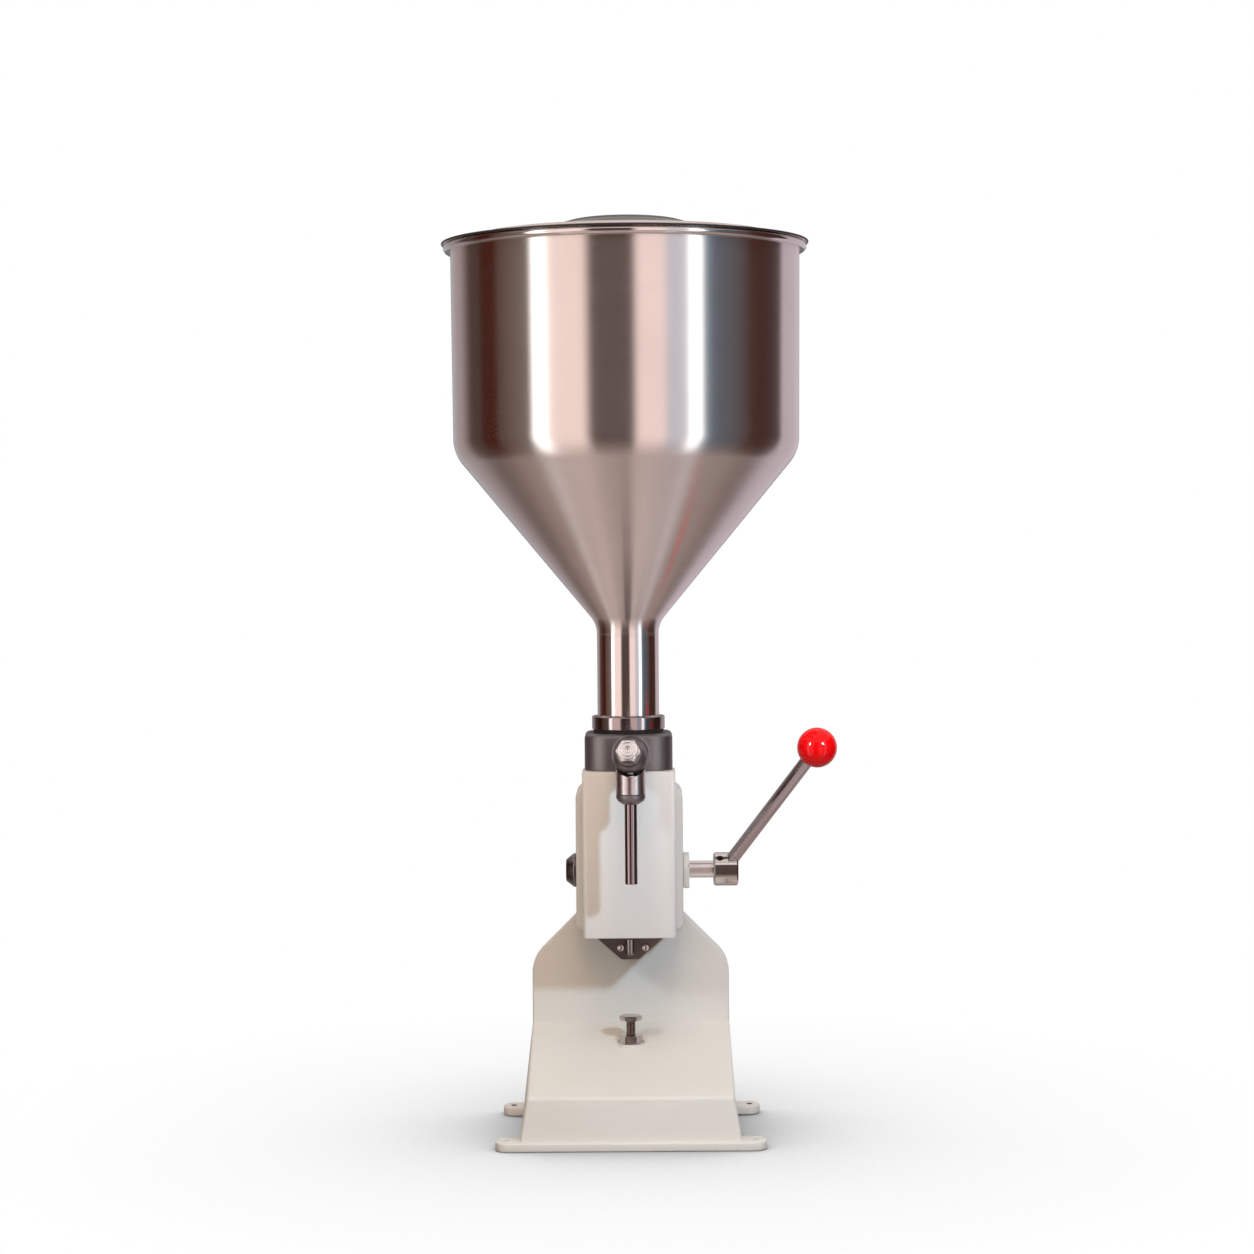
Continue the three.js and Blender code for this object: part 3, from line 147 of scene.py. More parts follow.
def turned(corners: list[Corner], steps: Steps, segments: int = 5, closed: bool = True) -> bmesh.types.BMesh:
    """Turn an outline of radii and heights round the Z axis.

    Args:
        corners: The outline, its first and last corner on the axis where the piece is solid there.
        steps: How finely the turn is divided.
        segments: How many edges a rounded corner gets.
        closed: Whether the outline closes on itself away from the axis, as a tube's does.

    Returns:
        A closed mesh about the Z axis.
    """
    bm = bmesh.new()
    outline_face(bm, corners, segments)
    bmesh.ops.delete(bm, geom=bm.faces[:], context="FACES_ONLY")
    if not closed:
        on_axis = [e for e in bm.edges if all(abs(v.co.x) < MERGE_DISTANCE for v in e.verts)]
        bmesh.ops.delete(bm, geom=on_axis, context="EDGES")
    bmesh.ops.spin(
        bm, geom=bm.verts[:] + bm.edges[:], cent=(0, 0, 0), axis=(0, 0, 1), dvec=(0, 0, 0),
        angle=FULL_TURN, steps=steps.value, use_merge=True, use_normal_flip=False, use_duplicate=False)
    bmesh.ops.remove_doubles(bm, verts=bm.verts[:], dist=MERGE_DISTANCE)
    bmesh.ops.recalc_face_normals(bm, faces=bm.faces[:])
    return bm


def rod(radius: float, low: float, high: float, chamfer: float = 0.0,
        steps: Steps = Steps.SMALL) -> bmesh.types.BMesh:
    """Turn a plain rod with chamfered ends, sizes in millimetres."""
    side = [Corner(radius, low), Corner(radius, high)]
    if chamfer:
        side = [Corner(radius - chamfer, low), Corner(radius, low + chamfer),
                Corner(radius, high - chamfer), Corner(radius - chamfer, high)]
    return turned([Corner(0, low), *side, Corner(0, high)], steps, closed=False)


def tube(inner: float, outer: float, low: float, high: float, rounding: float,
         steps: Steps = Steps.ROUND) -> bmesh.types.BMesh:
    """Turn a tube with rounded lips, sizes in millimetres."""
    return turned([
        Corner(inner, low, rounding), Corner(outer, low, rounding),
        Corner(outer, high, rounding), Corner(inner, high, rounding),
    ], steps, segments=3)


def thick_outline(corners: list[Corner], near: float, far: float, edge: float, axis: Axis = Axis.Y,
                  segments: int = 6, edge_segments: int = 3) -> bmesh.types.BMesh:
    """Give an outline thickness and soften the rims of its two faces.

    Args:
        corners: The outline, across and up, in millimetres.
        near: Where the thickness starts along the axis, in millimetres.
        far: Where it ends.
        edge: The radius of the rims, or zero for sharp ones.
        axis: Y for an outline in XZ, Z for one in XY, X for one in YZ.
        segments: How many edges a rounded corner gets.
        edge_segments: How many edges the rims' rounding gets.

    Returns:
        A closed mesh.
    """
    bm = bmesh.new()
    face = outline_face(bm, corners, segments)
    grown = bmesh.ops.extrude_face_region(bm, geom=[face])["geom"]
    far_side = [v for v in grown if isinstance(v, bmesh.types.BMVert)]
    bmesh.ops.translate(bm, verts=far_side, vec=(0, (far - near) * MM, 0))
    bmesh.ops.recalc_face_normals(bm, faces=bm.faces[:])
    if edge:
        caps = sorted(bm.faces, key=lambda f: -f.calc_area())
        flat = [f for f in caps if abs(f.normal.y) > 0.99]
        rims = list({e for f in flat for e in f.edges})
        bmesh.ops.bevel(
            bm, geom=rims, offset=edge * MM, offset_type="OFFSET", segments=edge_segments, profile=0.5,
            affect="EDGES", material=-1, clamp_overlap=True)
    bmesh.ops.translate(bm, verts=bm.verts[:], vec=(0, near * MM, 0))
    turn = {
        Axis.Y: Matrix.Identity(4),
        Axis.Z: Matrix(((1, 0, 0, 0), (0, 0, 1, 0), (0, 1, 0, 0), (0, 0, 0, 1))),
        Axis.X: Matrix(((0, 1, 0, 0), (1, 0, 0, 0), (0, 0, 1, 0), (0, 0, 0, 1))),
    }[axis]
    bm.transform(turn)
    bmesh.ops.recalc_face_normals(bm, faces=bm.faces[:])
    return bm


def slab(x: tuple[float, float], y: tuple[float, float], z: tuple[float, float], edge: float = 0.0,
         segments: int = 3) -> bmesh.types.BMesh:
    """Make a block between limits in millimetres, its edges rounded by a radius."""
    bm = bmesh.new()
    size = Vector((x[1] - x[0], y[1] - y[0], z[1] - z[0])) * MM
    centre = Vector((x[0] + x[1], y[0] + y[1], z[0] + z[1])) * MM / 2
    bmesh.ops.create_cube(bm, size=1.0, matrix=Matrix.Translation(centre) @ Matrix.Diagonal((*size, 1.0)))
    if edge:
        bmesh.ops.bevel(
            bm, geom=bm.edges[:], offset=edge * MM, offset_type="OFFSET", segments=segments, profile=0.5,
            affect="EDGES", material=-1, clamp_overlap=True)
    return bm


def moved(bm: bmesh.types.BMesh, matrix: Matrix) -> bmesh.types.BMesh:
    """Move a mesh by a matrix and give it back."""
    bm.transform(matrix)
    return bm


def shifted(bm: bmesh.types.BMesh, x: float = 0.0, y: float = 0.0, z: float = 0.0) -> bmesh.types.BMesh:
    """Shift a mesh by a distance in millimetres and give it back."""
    return moved(bm, Matrix.Translation(Vector((x, y, z)) * MM))


def laid(bm: bmesh.types.BMesh, axis: Axis) -> bmesh.types.BMesh:
    """Lay a mesh that was turned about Z along another axis."""
    return moved(bm, LAY[axis])


def six_sided(flats: float, height: float, turn: float = 0.0) -> bmesh.types.BMesh:
    """Make a hexagonal prism about its middle, from its width across flats, and turn it by degrees."""
    corner = flats / math.sqrt(3) * MM
    prism = bmesh.new()
    bmesh.ops.create_cone(
        prism, cap_ends=True, segments=6, radius1=corner, radius2=corner, depth=height * MM,
        matrix=Matrix.Rotation(math.radians(turn), 4, "Z"))
    return prism


def open_edges(bm: bmesh.types.BMesh) -> list[bmesh.types.BMEdge]:
    """Give the edges that only one face has."""
    return [e for e in bm.edges if len(e.link_faces) == 1]


def joined(*parts: bmesh.types.BMesh) -> bmesh.types.BMesh:
    """Collect several meshes in the first one, as separate shells."""
    first = parts[0]
    for part in parts[1:]:
        mesh = bpy.data.meshes.new("part")
        part.to_mesh(mesh)
        part.free()
        first.from_mesh(mesh)
        bpy.data.meshes.remove(mesh)
    return first


def as_object(name: str, bm: bmesh.types.BMesh) -> bpy.types.Object:
    """Turn a mesh that is laid out about the barrel's axis into an object of the scene.

    Args:
        name: The object's name.
        bm: The finished mesh, which is used up.

    Returns:
        The object, at the origin.
    """
    bmesh.ops.translate(bm, verts=bm.verts[:], vec=BARREL_AXIS)
    mesh = bpy.data.meshes.new(name)
    bm.to_mesh(mesh)
    bm.free()
    obj = bpy.data.objects.new(name, mesh)
    bpy.context.scene.collection.objects.link(obj)
    return obj


def soft_shaded(obj: bpy.types.Object, degrees: float = 32.0) -> bpy.types.Object:
    """Shade an object smooth, with its edges sharp beyond an angle."""
    obj.data.shade_smooth()
    obj.data.set_sharp_from_angle(angle=math.radians(degrees))
    return obj


def settle(obj: bpy.types.Object) -> None:
    """Apply an object's modifiers to its mesh."""
    depsgraph = bpy.context.evaluated_depsgraph_get()
    mesh = bpy.data.meshes.new_from_object(obj.evaluated_get(depsgraph))
    old = obj.data
    obj.modifiers.clear()
    obj.data = mesh
    mesh.name = obj.name
    bpy.data.meshes.remove(old)


def combine(target: bpy.types.Object, tools: list[bpy.types.Object], operation: str) -> None:
    """Join or cut an object with others, which are used up.

    Args:
        target: The object that stays.
        tools: The closed objects that it is joined or cut with.
        operation: UNION or DIFFERENCE.
    """
    for tool in tools:
        change = target.modifiers.new("combine", "BOOLEAN")
        change.object = tool
        change.operation = operation
        change.solver = "EXACT"
    settle(target)
    for tool in tools:
        mesh = tool.data
        bpy.data.objects.remove(tool)
        bpy.data.meshes.remove(mesh)


def cutter(bm: bmesh.types.BMesh) -> bpy.types.Object:
    """Make an object that only serves to join or cut another."""
    return as_object("tool", bm)


Colour = tuple[float, float, float]
SocketValue = float | tuple[float, ...] | bpy.types.NodeSocket


class Nodes:
    """A node tree that starts empty, with short calls for adding nodes and filling their sockets."""

    def __init__(self, tree: bpy.types.NodeTree) -> None:
        """Empty the tree."""
        self.tree = tree
        self.tree.nodes.clear()

    def fill(self, node: bpy.types.Node, sockets: dict[str | int, SocketValue]) -> bpy.types.Node:
        """Give a node's sockets their values, or join them to the sockets of other nodes."""
        for name, value in sockets.items():
            if isinstance(value, bpy.types.NodeSocket):
                self.tree.links.new(value, node.inputs[name])
            else:
                node.inputs[name].default_value = value
        return node

    def add(self, kind: str, sockets: dict[str | int, SocketValue] | None = None,
            **settings: str) -> bpy.types.Node:
        """Add a node.

        Args:
            kind: The node's type.
            sockets: What its sockets get.
            settings: Its own settings, such as its operation.

        Returns:
            The node.
        """
        node = self.tree.nodes.new(kind)
        for name, value in settings.items():
            setattr(node, name, value)
        return self.fill(node, sockets or {})

    def mixed(self, factor: bpy.types.NodeSocket, first: SocketValue,
              second: SocketValue) -> bpy.types.NodeSocket:
        """Mix two colours by a factor."""
        return self.add("ShaderNodeMix", {
            "Factor": factor, "A": first, "B": second}, data_type="RGBA").outputs["Result"]

    def either(self, factor: bpy.types.NodeSocket, otherwise: bpy.types.NodeSocket,
               then: bpy.types.NodeSocket) -> bpy.types.NodeSocket:
        """Choose between two shaders by a factor of none or one."""
        return self.add("ShaderNodeMixShader", {"Fac": factor, 1: otherwise, 2: then}).outputs["Shader"]

    def ranged(self, value: bpy.types.NodeSocket, low: float, high: float, start: float = 0.3,
               end: float = 0.7) -> bpy.types.NodeSocket:
        """Map a factor onto a range of values."""
        return self.add("ShaderNodeMapRange", {
            "Value": value, "From Min": start, "From Max": end, "To Min": low, "To Max": high,
        }).outputs["Result"]


class Graph(Nodes):
    """A material's node tree round one main shader."""

    def __init__(self, name: str) -> None:
        """Start a material of a name with its main shader alone."""
        self.material = bpy.data.materials.new(name)
        self.material.use_nodes = True
        super().__init__(self.material.node_tree)
        self.shader = self.add("ShaderNodeBsdfPrincipled")
        self.output = self.add("ShaderNodeOutputMaterial", {"Surface": self.shader.outputs["BSDF"]})
        self.place = self.add("ShaderNodeTexCoord").outputs["Object"]

    def noise(self, scale: float, detail: float = 2.0, spread: tuple[float, float, float] = (1, 1, 1),
              roughness: float = 0.5) -> bpy.types.NodeSocket:
        """Add noise on Object coordinates that are spread by a factor on each axis, and give its factor."""
        where = self.add("ShaderNodeMapping", {"Vector": self.place, "Scale": spread}).outputs["Vector"]
        return self.add("ShaderNodeTexNoise", {
            "Vector": where, "Scale": scale, "Detail": detail, "Roughness": roughness}).outputs["Fac"]

    def bump(self, height: bpy.types.NodeSocket, depth: float) -> bpy.types.NodeSocket:
        """Raise the surface by a height in metres, and give the new normal."""
        return self.add("ShaderNodeBump", {
            "Strength": 1.0, "Distance": depth, "Height": height}).outputs["Normal"]


@dataclass(frozen=True)
class Finish:
    """What every finish has: its name, its two tones and its range of roughness."""

    name: str
    light: Colour
    dark: Colour
    roughness: tuple[float, float]

    def dressed(self, graph: Graph, cloud: bpy.types.NodeSocket, texture: bpy.types.NodeSocket, depth: float,
                plain: dict[str, SocketValue]) -> bpy.types.Material:
        """Finish a material.

        Args:
            graph: The material's nodes.
            cloud: What blends the two tones.
            texture: What roughens and raises the surface.
            depth: How far the texture raises it, in metres.
            plain: The shader's own sockets that are the same all over.

        Returns:
            The material.
        """
        tone = graph.ranged(cloud, 0.0, 1.0)
        graph.fill(graph.shader, {
            "Base Color": graph.mixed(tone, (*self.dark, 1.0), (*self.light, 1.0)),
            "Roughness": graph.ranged(texture, *self.roughness),
            "Normal": graph.bump(texture, depth),
            **plain,
        })
        return graph.material


@dataclass(frozen=True)
class SteelFinish(Finish):
    """Stainless or plain steel, with the grain that the work left on it."""

    grain_scale: float
    grain_depth: float
    grain: tuple[float, float, float] = (1, 1, 1)
    smear: float = 0.0
    smear_turn: float = 0.0

    def material(self) -> bpy.types.Material:
        """Make the finish's material."""
        graph = Graph(self.name)
        grain = graph.noise(self.grain_scale, 3.0, self.grain, 0.6)
        return self.dressed(graph, graph.noise(18.0), grain, self.grain_depth, {
            "Metallic": 1.0, "Anisotropic": self.smear, "Anisotropic Rotation": self.smear_turn})


@dataclass(frozen=True)
class PaintFinish(Finish):
    """Sprayed enamel on a casting or a folded sheet."""

    peel_scale: float
    peel_depth: float

    def material(self) -> bpy.types.Material:
        """Make the finish's material."""
        graph = Graph(self.name)
        return self.dressed(graph, graph.noise(9.0, 3.0), graph.noise(self.peel_scale), self.peel_depth, {
            "Specular IOR Level": 0.4})


@dataclass(frozen=True)
class GlossFinish(Finish):
    """A moulded plastic or rubber, from glossy to dull."""

    flow_depth: float
    coat: float = 0.0
    sheen: float = 0.5

    def material(self) -> bpy.types.Material:
        """Make the finish's material."""
        graph = Graph(self.name)
        flow = graph.noise(120.0)
        return self.dressed(graph, flow, flow, self.flow_depth, {
            "Coat Weight": self.coat, "Coat Roughness": 0.03, "Specular IOR Level": self.sheen})


class Finishes:
    """Every finish of the machine, made once."""

    BRUSHED_ROUND = {"smear": 1.0, "smear_turn": 0.25}

    def __init__(self) -> None:
        """Make the materials."""
        self.bowl = SteelFinish(
            "brushed_bowl_steel", (0.665, 0.615, 0.585), (0.635, 0.585, 0.555), (0.22, 0.27), 14.0, 6e-6,
            (1, 1, 160), **self.BRUSHED_ROUND).material()
        self.neck = SteelFinish(
            "polished_neck_steel", (0.665, 0.615, 0.585), (0.62, 0.57, 0.54), (0.13, 0.17), 20.0, 4e-6,
            (1, 1, 60), **self.BRUSHED_ROUND).material()
        # painted shade: the neck's polished steel again, with a much darker base for the collar ring
        self.ring = SteelFinish(
            "ring_steel_painted_shade", (0.36, 0.31, 0.31), (0.31, 0.265, 0.265), (0.13, 0.17), 20.0, 4e-6,
            (1, 1, 60), **self.BRUSHED_ROUND).material()
        self.polished = SteelFinish(
            "polished_steel", (0.66, 0.62, 0.6), (0.6, 0.56, 0.54), (0.06, 0.11), 40.0, 4e-6,
            (1, 1, 30)).material()
        self.turned = SteelFinish(
            "turned_steel", (0.6, 0.56, 0.54), (0.5, 0.46, 0.44), (0.14, 0.24), 300.0, 8e-6).material()
        self.drawn = SteelFinish(
            "drawn_bar_steel", (0.5, 0.45, 0.46), (0.44, 0.39, 0.395), (0.16, 0.22), 90.0, 2e-6).material()
        # painted shade: drawn steel with a base far darker than steel, for the nozzle tube
        self.nozzle = SteelFinish(
            "drawn_tube_steel_painted_shade", (0.27, 0.215, 0.215), (0.23, 0.18, 0.18), (0.08, 0.12), 90.0, 1e-6).material()
        # painted shade: a much darker copy of the lid's steel, for the middle of its dome
        self.dome_painted_shade = SteelFinish(
            "dome_steel_painted_shade", (0.2, 0.2, 0.185), (0.17, 0.17, 0.16), (0.24, 0.3), 60.0, 2e-6).material()
        # painted reflection: ground steel with a base paler than steel, for the bright surroundings the shaft
        # mirrors
        self.ground_with_painted_reflection = SteelFinish(
            "ground_shaft_steel_painted_reflection", (0.8, 0.755, 0.745), (0.75, 0.705, 0.695), (0.28, 0.34),
            300.0, 3e-6).material()
        self.satin = SteelFinish(
            "satin_socket_steel", (0.56, 0.51, 0.51), (0.5, 0.45, 0.45), (0.26, 0.32), 300.0, 3e-6).material()
        # machined plug steel, its base raised above steel's as partly painted reflection
        self.bright = SteelFinish(
            "bright_plug_steel_painted_reflection", (0.86, 0.83, 0.81), (0.8, 0.77, 0.75), (0.2, 0.26), 200.0, 4e-6).material()
        self.thread = SteelFinish(
            "brown_thread_steel", (0.26, 0.2, 0.17), (0.2, 0.15, 0.125), (0.2, 0.28), 300.0, 4e-6).material()
        self.blasted = SteelFinish(
            "blasted_steel", (0.25, 0.232, 0.235), (0.2, 0.185, 0.186), (0.42, 0.55), 1400.0, 4e-5).material()
        self.gunmetal = SteelFinish(
            "gunmetal_steel", (0.23, 0.2, 0.195), (0.17, 0.148, 0.142), (0.18, 0.26), 400.0, 8e-6).material()
        self.dark = SteelFinish(
            "dark_oiled_steel", (0.13, 0.11, 0.1), (0.09, 0.075, 0.065), (0.34, 0.5), 500.0, 2e-5).material()
        self.bronze = SteelFinish(
            "machined_bronze", (0.62, 0.43, 0.2), (0.5, 0.33, 0.15), (0.25, 0.38), 300.0, 1e-5).material()
        self.casting = PaintFinish(
            "cream_casting_enamel", (0.7, 0.642, 0.585), (0.66, 0.6, 0.54), (0.36, 0.48),
            420.0, 6e-5).material()
        self.cover = PaintFinish(
            "cream_cover_enamel", (0.805, 0.745, 0.7), (0.775, 0.71, 0.665), (0.33, 0.42),
            520.0, 3e-5).material()
        self.ball = GlossFinish(
            "red_gloss", (0.98, 0.003, 0.006), (0.94, 0.002, 0.004), (0.07, 0.09), 8e-7, 0.3, 0.05).material()
        self.rubber = GlossFinish(
            "black_rubber", (0.02, 0.019, 0.018), (0.014, 0.013, 0.012), (0.6, 0.75), 2e-5).material()
        self.plastic = GlossFinish(
            "white_plastic", (0.8, 0.79, 0.75), (0.75, 0.74, 0.7), (0.35, 0.5), 1e-5).material()


def put(obj: bpy.types.Object, material: bpy.types.Material, body: str, node: str) -> None:
    """Give a piece its material and its place in the model.

    Args:
        obj: The finished piece.
        material: Its material.
        body: The body that it rides on.
        node: The node that it stands for.
    """
    obj.data.materials.clear()
    obj.data.materials.append(material)
    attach(obj, body)
    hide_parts(node)
    LOG.info("%s: %d faces on %s", obj.name, len(obj.data.polygons), body)


def from_axis(place: Vector) -> float:
    """Give a place's distance from the barrel's axis, in millimetres."""
    return math.hypot(place.x - BARREL_AXIS.x, place.y - BARREL_AXIS.y) / MM


def zoned(obj: bpy.types.Object, finish: bpy.types.Material, chosen: Callable[[Vector], bool]) -> None:
    """Give the faces whose middle is chosen a finish of their own."""
    obj.data.materials.append(finish)
    slot = len(obj.data.materials) - 1
    for face in obj.data.polygons:
        if chosen(face.center):
            face.material_index = slot


def dress(node: str, material: bpy.types.Material) -> None:
    """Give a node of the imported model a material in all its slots."""
    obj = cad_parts[node]
    for index in range(len(obj.material_slots)):
        obj.material_slots[index].material = material
    LOG.info("%s: dressed", node)


@dataclass
class Hopper:
    """The bowl, its neck, the ring under it, the gasket and the lid."""

    finishes: Finishes
    sheet: float = 1.5
    cone_half_angle: float = 39.6
    neck_wall: float = 2.0
    foot_radius: float = 20.0
    foot_drop: float = 8.3
    knee_radius: float = 30.0
    top_radius: float = 143.8
    knee_wall_radius: float = 142.3
    bead_radius: float = 3.1
    bead_overhang: float = 0.35
    weld_bulge: float = 0.14
    weld_root: float = 0.8
    ring_lip: float = 1.2
    lid_sheet: float = 1.2
    lid_seat: float = 0.15
    lip_play: float = 0.8
    brim_width: float = 9.8
    step_run: float = 7.0
    step_rise: float = 6.6
    dome_foot: float = 64.0
    dome_lift: float = 1.6
    # painted shade: how far out from the middle the dome's dark steel reaches
    painted_shade_dome_radius: float = 62.0
    hem_width: float = 3.0
    hem_height: float = 1.6
    # painted shade: width of the black band on the lid's outer edge
    painted_shade_rim: float = 0.9

    DOME = ((17.0, 0.5, 60.0, 0.1), (43.0, 2.3, 40.0, 0.3), (59.0, 7.0, 14.0, 0.6))

    def bowl(self) -> None:
        """Make the bowl: short foot, cone, rounded knee, slightly tapered wall and polished rolled rim."""
        low, high = box_of("hopper_bowl")
        neck = box_of("neck_tube")[1].x / MM
        rim = high.z / MM - self.bead_radius
        edge = max(high.x, -low.x) / MM + self.bead_overhang
        slope = math.tan(math.radians(self.cone_half_angle))
        inward = self.sheet * math.tan(math.radians(self.cone_half_angle / 2))
        foot = low.z / MM
        cone = foot + self.foot_drop
        knee = cone + (self.knee_wall_radius - neck) / slope
        bead = self.bead_radius
        corners = [
            Corner(neck - self.sheet, foot), Corner(neck, foot), Corner(neck, cone, self.foot_radius),
            Corner(self.knee_wall_radius, knee, self.knee_radius),
            Corner(self.top_radius, rim - bead + GAP, 0.6),
            Corner(edge - bead * 0.6, rim - bead, bead * 0.5), Corner(edge, rim - bead * 0.2, bead * 0.7),
            Corner(edge - bead * 0.2, rim + bead, bead * 0.9),
            Corner(self.top_radius - self.sheet, rim + bead, bead * 0.8),
            Corner(self.knee_wall_radius - self.sheet, knee + inward, self.knee_radius - self.sheet),
            Corner(neck - self.sheet, cone + inward, self.foot_radius + self.sheet),
        ]
        obj = soft_shaded(as_object("hopper_bowl_skin", turned(corners, Steps.BOWL, segments=9)), 40)
        put(obj, self.finishes.bowl, "hopper", "hopper_bowl")
        zoned(obj, self.finishes.polished, lambda place: from_axis(place) > self.top_radius + 2 * GAP)

    def neck(self) -> None:
        """Make the neck tube with its weld seam under the bowl's foot, and the ring that it stands in."""
        low, high = box_of("neck_tube")
        outer = high.x / MM
        pipe = tube(outer - self.neck_wall, outer, low.z / MM, high.z / MM + 0.2, 0.3)
        seam = high.z / MM
        weld = turned([
            Corner(outer - self.weld_root, seam - 0.8), Corner(outer + self.weld_bulge, seam - 0.6, 0.3),
            Corner(outer + self.weld_bulge, seam + 0.9, 0.3), Corner(outer - self.weld_root, seam + 1.1),
        ], Steps.ROUND, segments=3)
        obj = soft_shaded(as_object("neck_pipe", joined(pipe, weld)))
        put(obj, self.finishes.neck, "hopper", "neck_tube")
        low, high = box_of("collar_ring")
        outer = high.x / MM
        inner = box_of("neck_tube")[1].x / MM + GAP
        shoulder = high.z / MM - self.ring_lip
        ring = turned([
            Corner(inner, low.z / MM), Corner(outer, low.z / MM, 0.9), Corner(outer, shoulder, 1.1),
            Corner(inner + 0.8, shoulder), Corner(inner, high.z / MM - 0.5),
        ], Steps.ROUND)
        obj = soft_shaded(as_object("polished_collar", ring))
        # painted shade: the ring gets the darker copy of the neck's steel
        put(obj, self.finishes.ring, "hopper", "collar_ring")
        low, high = box_of("hopper_gasket")
        obj = as_object("hopper_seal", tube(inner, high.x / MM, low.z / MM, high.z / MM, 0.3))
        put(soft_shaded(obj), self.finishes.rubber, "frame", "hopper_gasket")

    def lid(self) -> None:
        """Make the lid: hemmed edge, locating lip, raised step and a low dome in the middle.

        DOME has the dome's corners: radius, drop below its top, rounding, and how far the underside is
        drawn in.
        """
        low, high = box_of("lid")
        foot, top = low.z / MM, high.z / MM
        seat = box_of("hopper_bowl")[1].z / MM + self.lid_seat
        edge = high.x / MM
        sheet = self.lid_sheet
        lip = self.top_radius - self.sheet - self.lip_play
        brim = lip - self.brim_width
        crown = brim - self.step_run
        step = seat + self.step_rise
        hem = seat + self.hem_height
        over = [Corner(radius, top - drop, rounding) for radius, drop, rounding, _ in self.DOME]
        under = [Corner(radius - inward, top - drop - sheet, rounding)
                 for radius, drop, rounding, inward in self.DOME]
        corners = [
            Corner(0, top), *over, Corner(self.dome_foot, step + self.dome_lift, 3), Corner(crown, step, 3),
            Corner(brim, seat + sheet, 2), Corner(edge - self.hem_width - 0.2, seat + sheet, 0.6),
            Corner(edge - self.hem_width + 0.4, hem, 0.5), Corner(edge, hem, 0.75), Corner(edge, seat, 0.7),
            Corner(lip, seat, 0.3), Corner(lip, foot, 0.4), Corner(lip - sheet, foot, 0.4),
            Corner(lip - sheet, seat, 0.5), Corner(brim - 0.7, seat, 2), Corner(crown - 0.6, step - sheet, 2),
            Corner(self.dome_foot - 0.6, step + self.dome_lift - sheet, 3), *reversed(under),
            Corner(0, top - sheet),
        ]
        obj = as_object("lid_pressing", turned(corners, Steps.BOWL, segments=6, closed=False))
        put(soft_shaded(obj, 50), self.finishes.bowl, "lid", "lid")
        # painted shade: the dome's middle gets a much darker copy of the lid's steel
        zoned(obj, self.finishes.dome_painted_shade, lambda place: from_axis(place) < self.painted_shade_dome_radius)
        zoned(obj, self.finishes.polished, lambda place: from_axis(place) > edge - self.hem_width)
        # painted shade: the hem's outer edge gets black rubber in place of the shaded gap under the lid's
        # edge
        zoned(obj, self.finishes.rubber, lambda place: from_axis(place) > edge - self.painted_shade_rim)


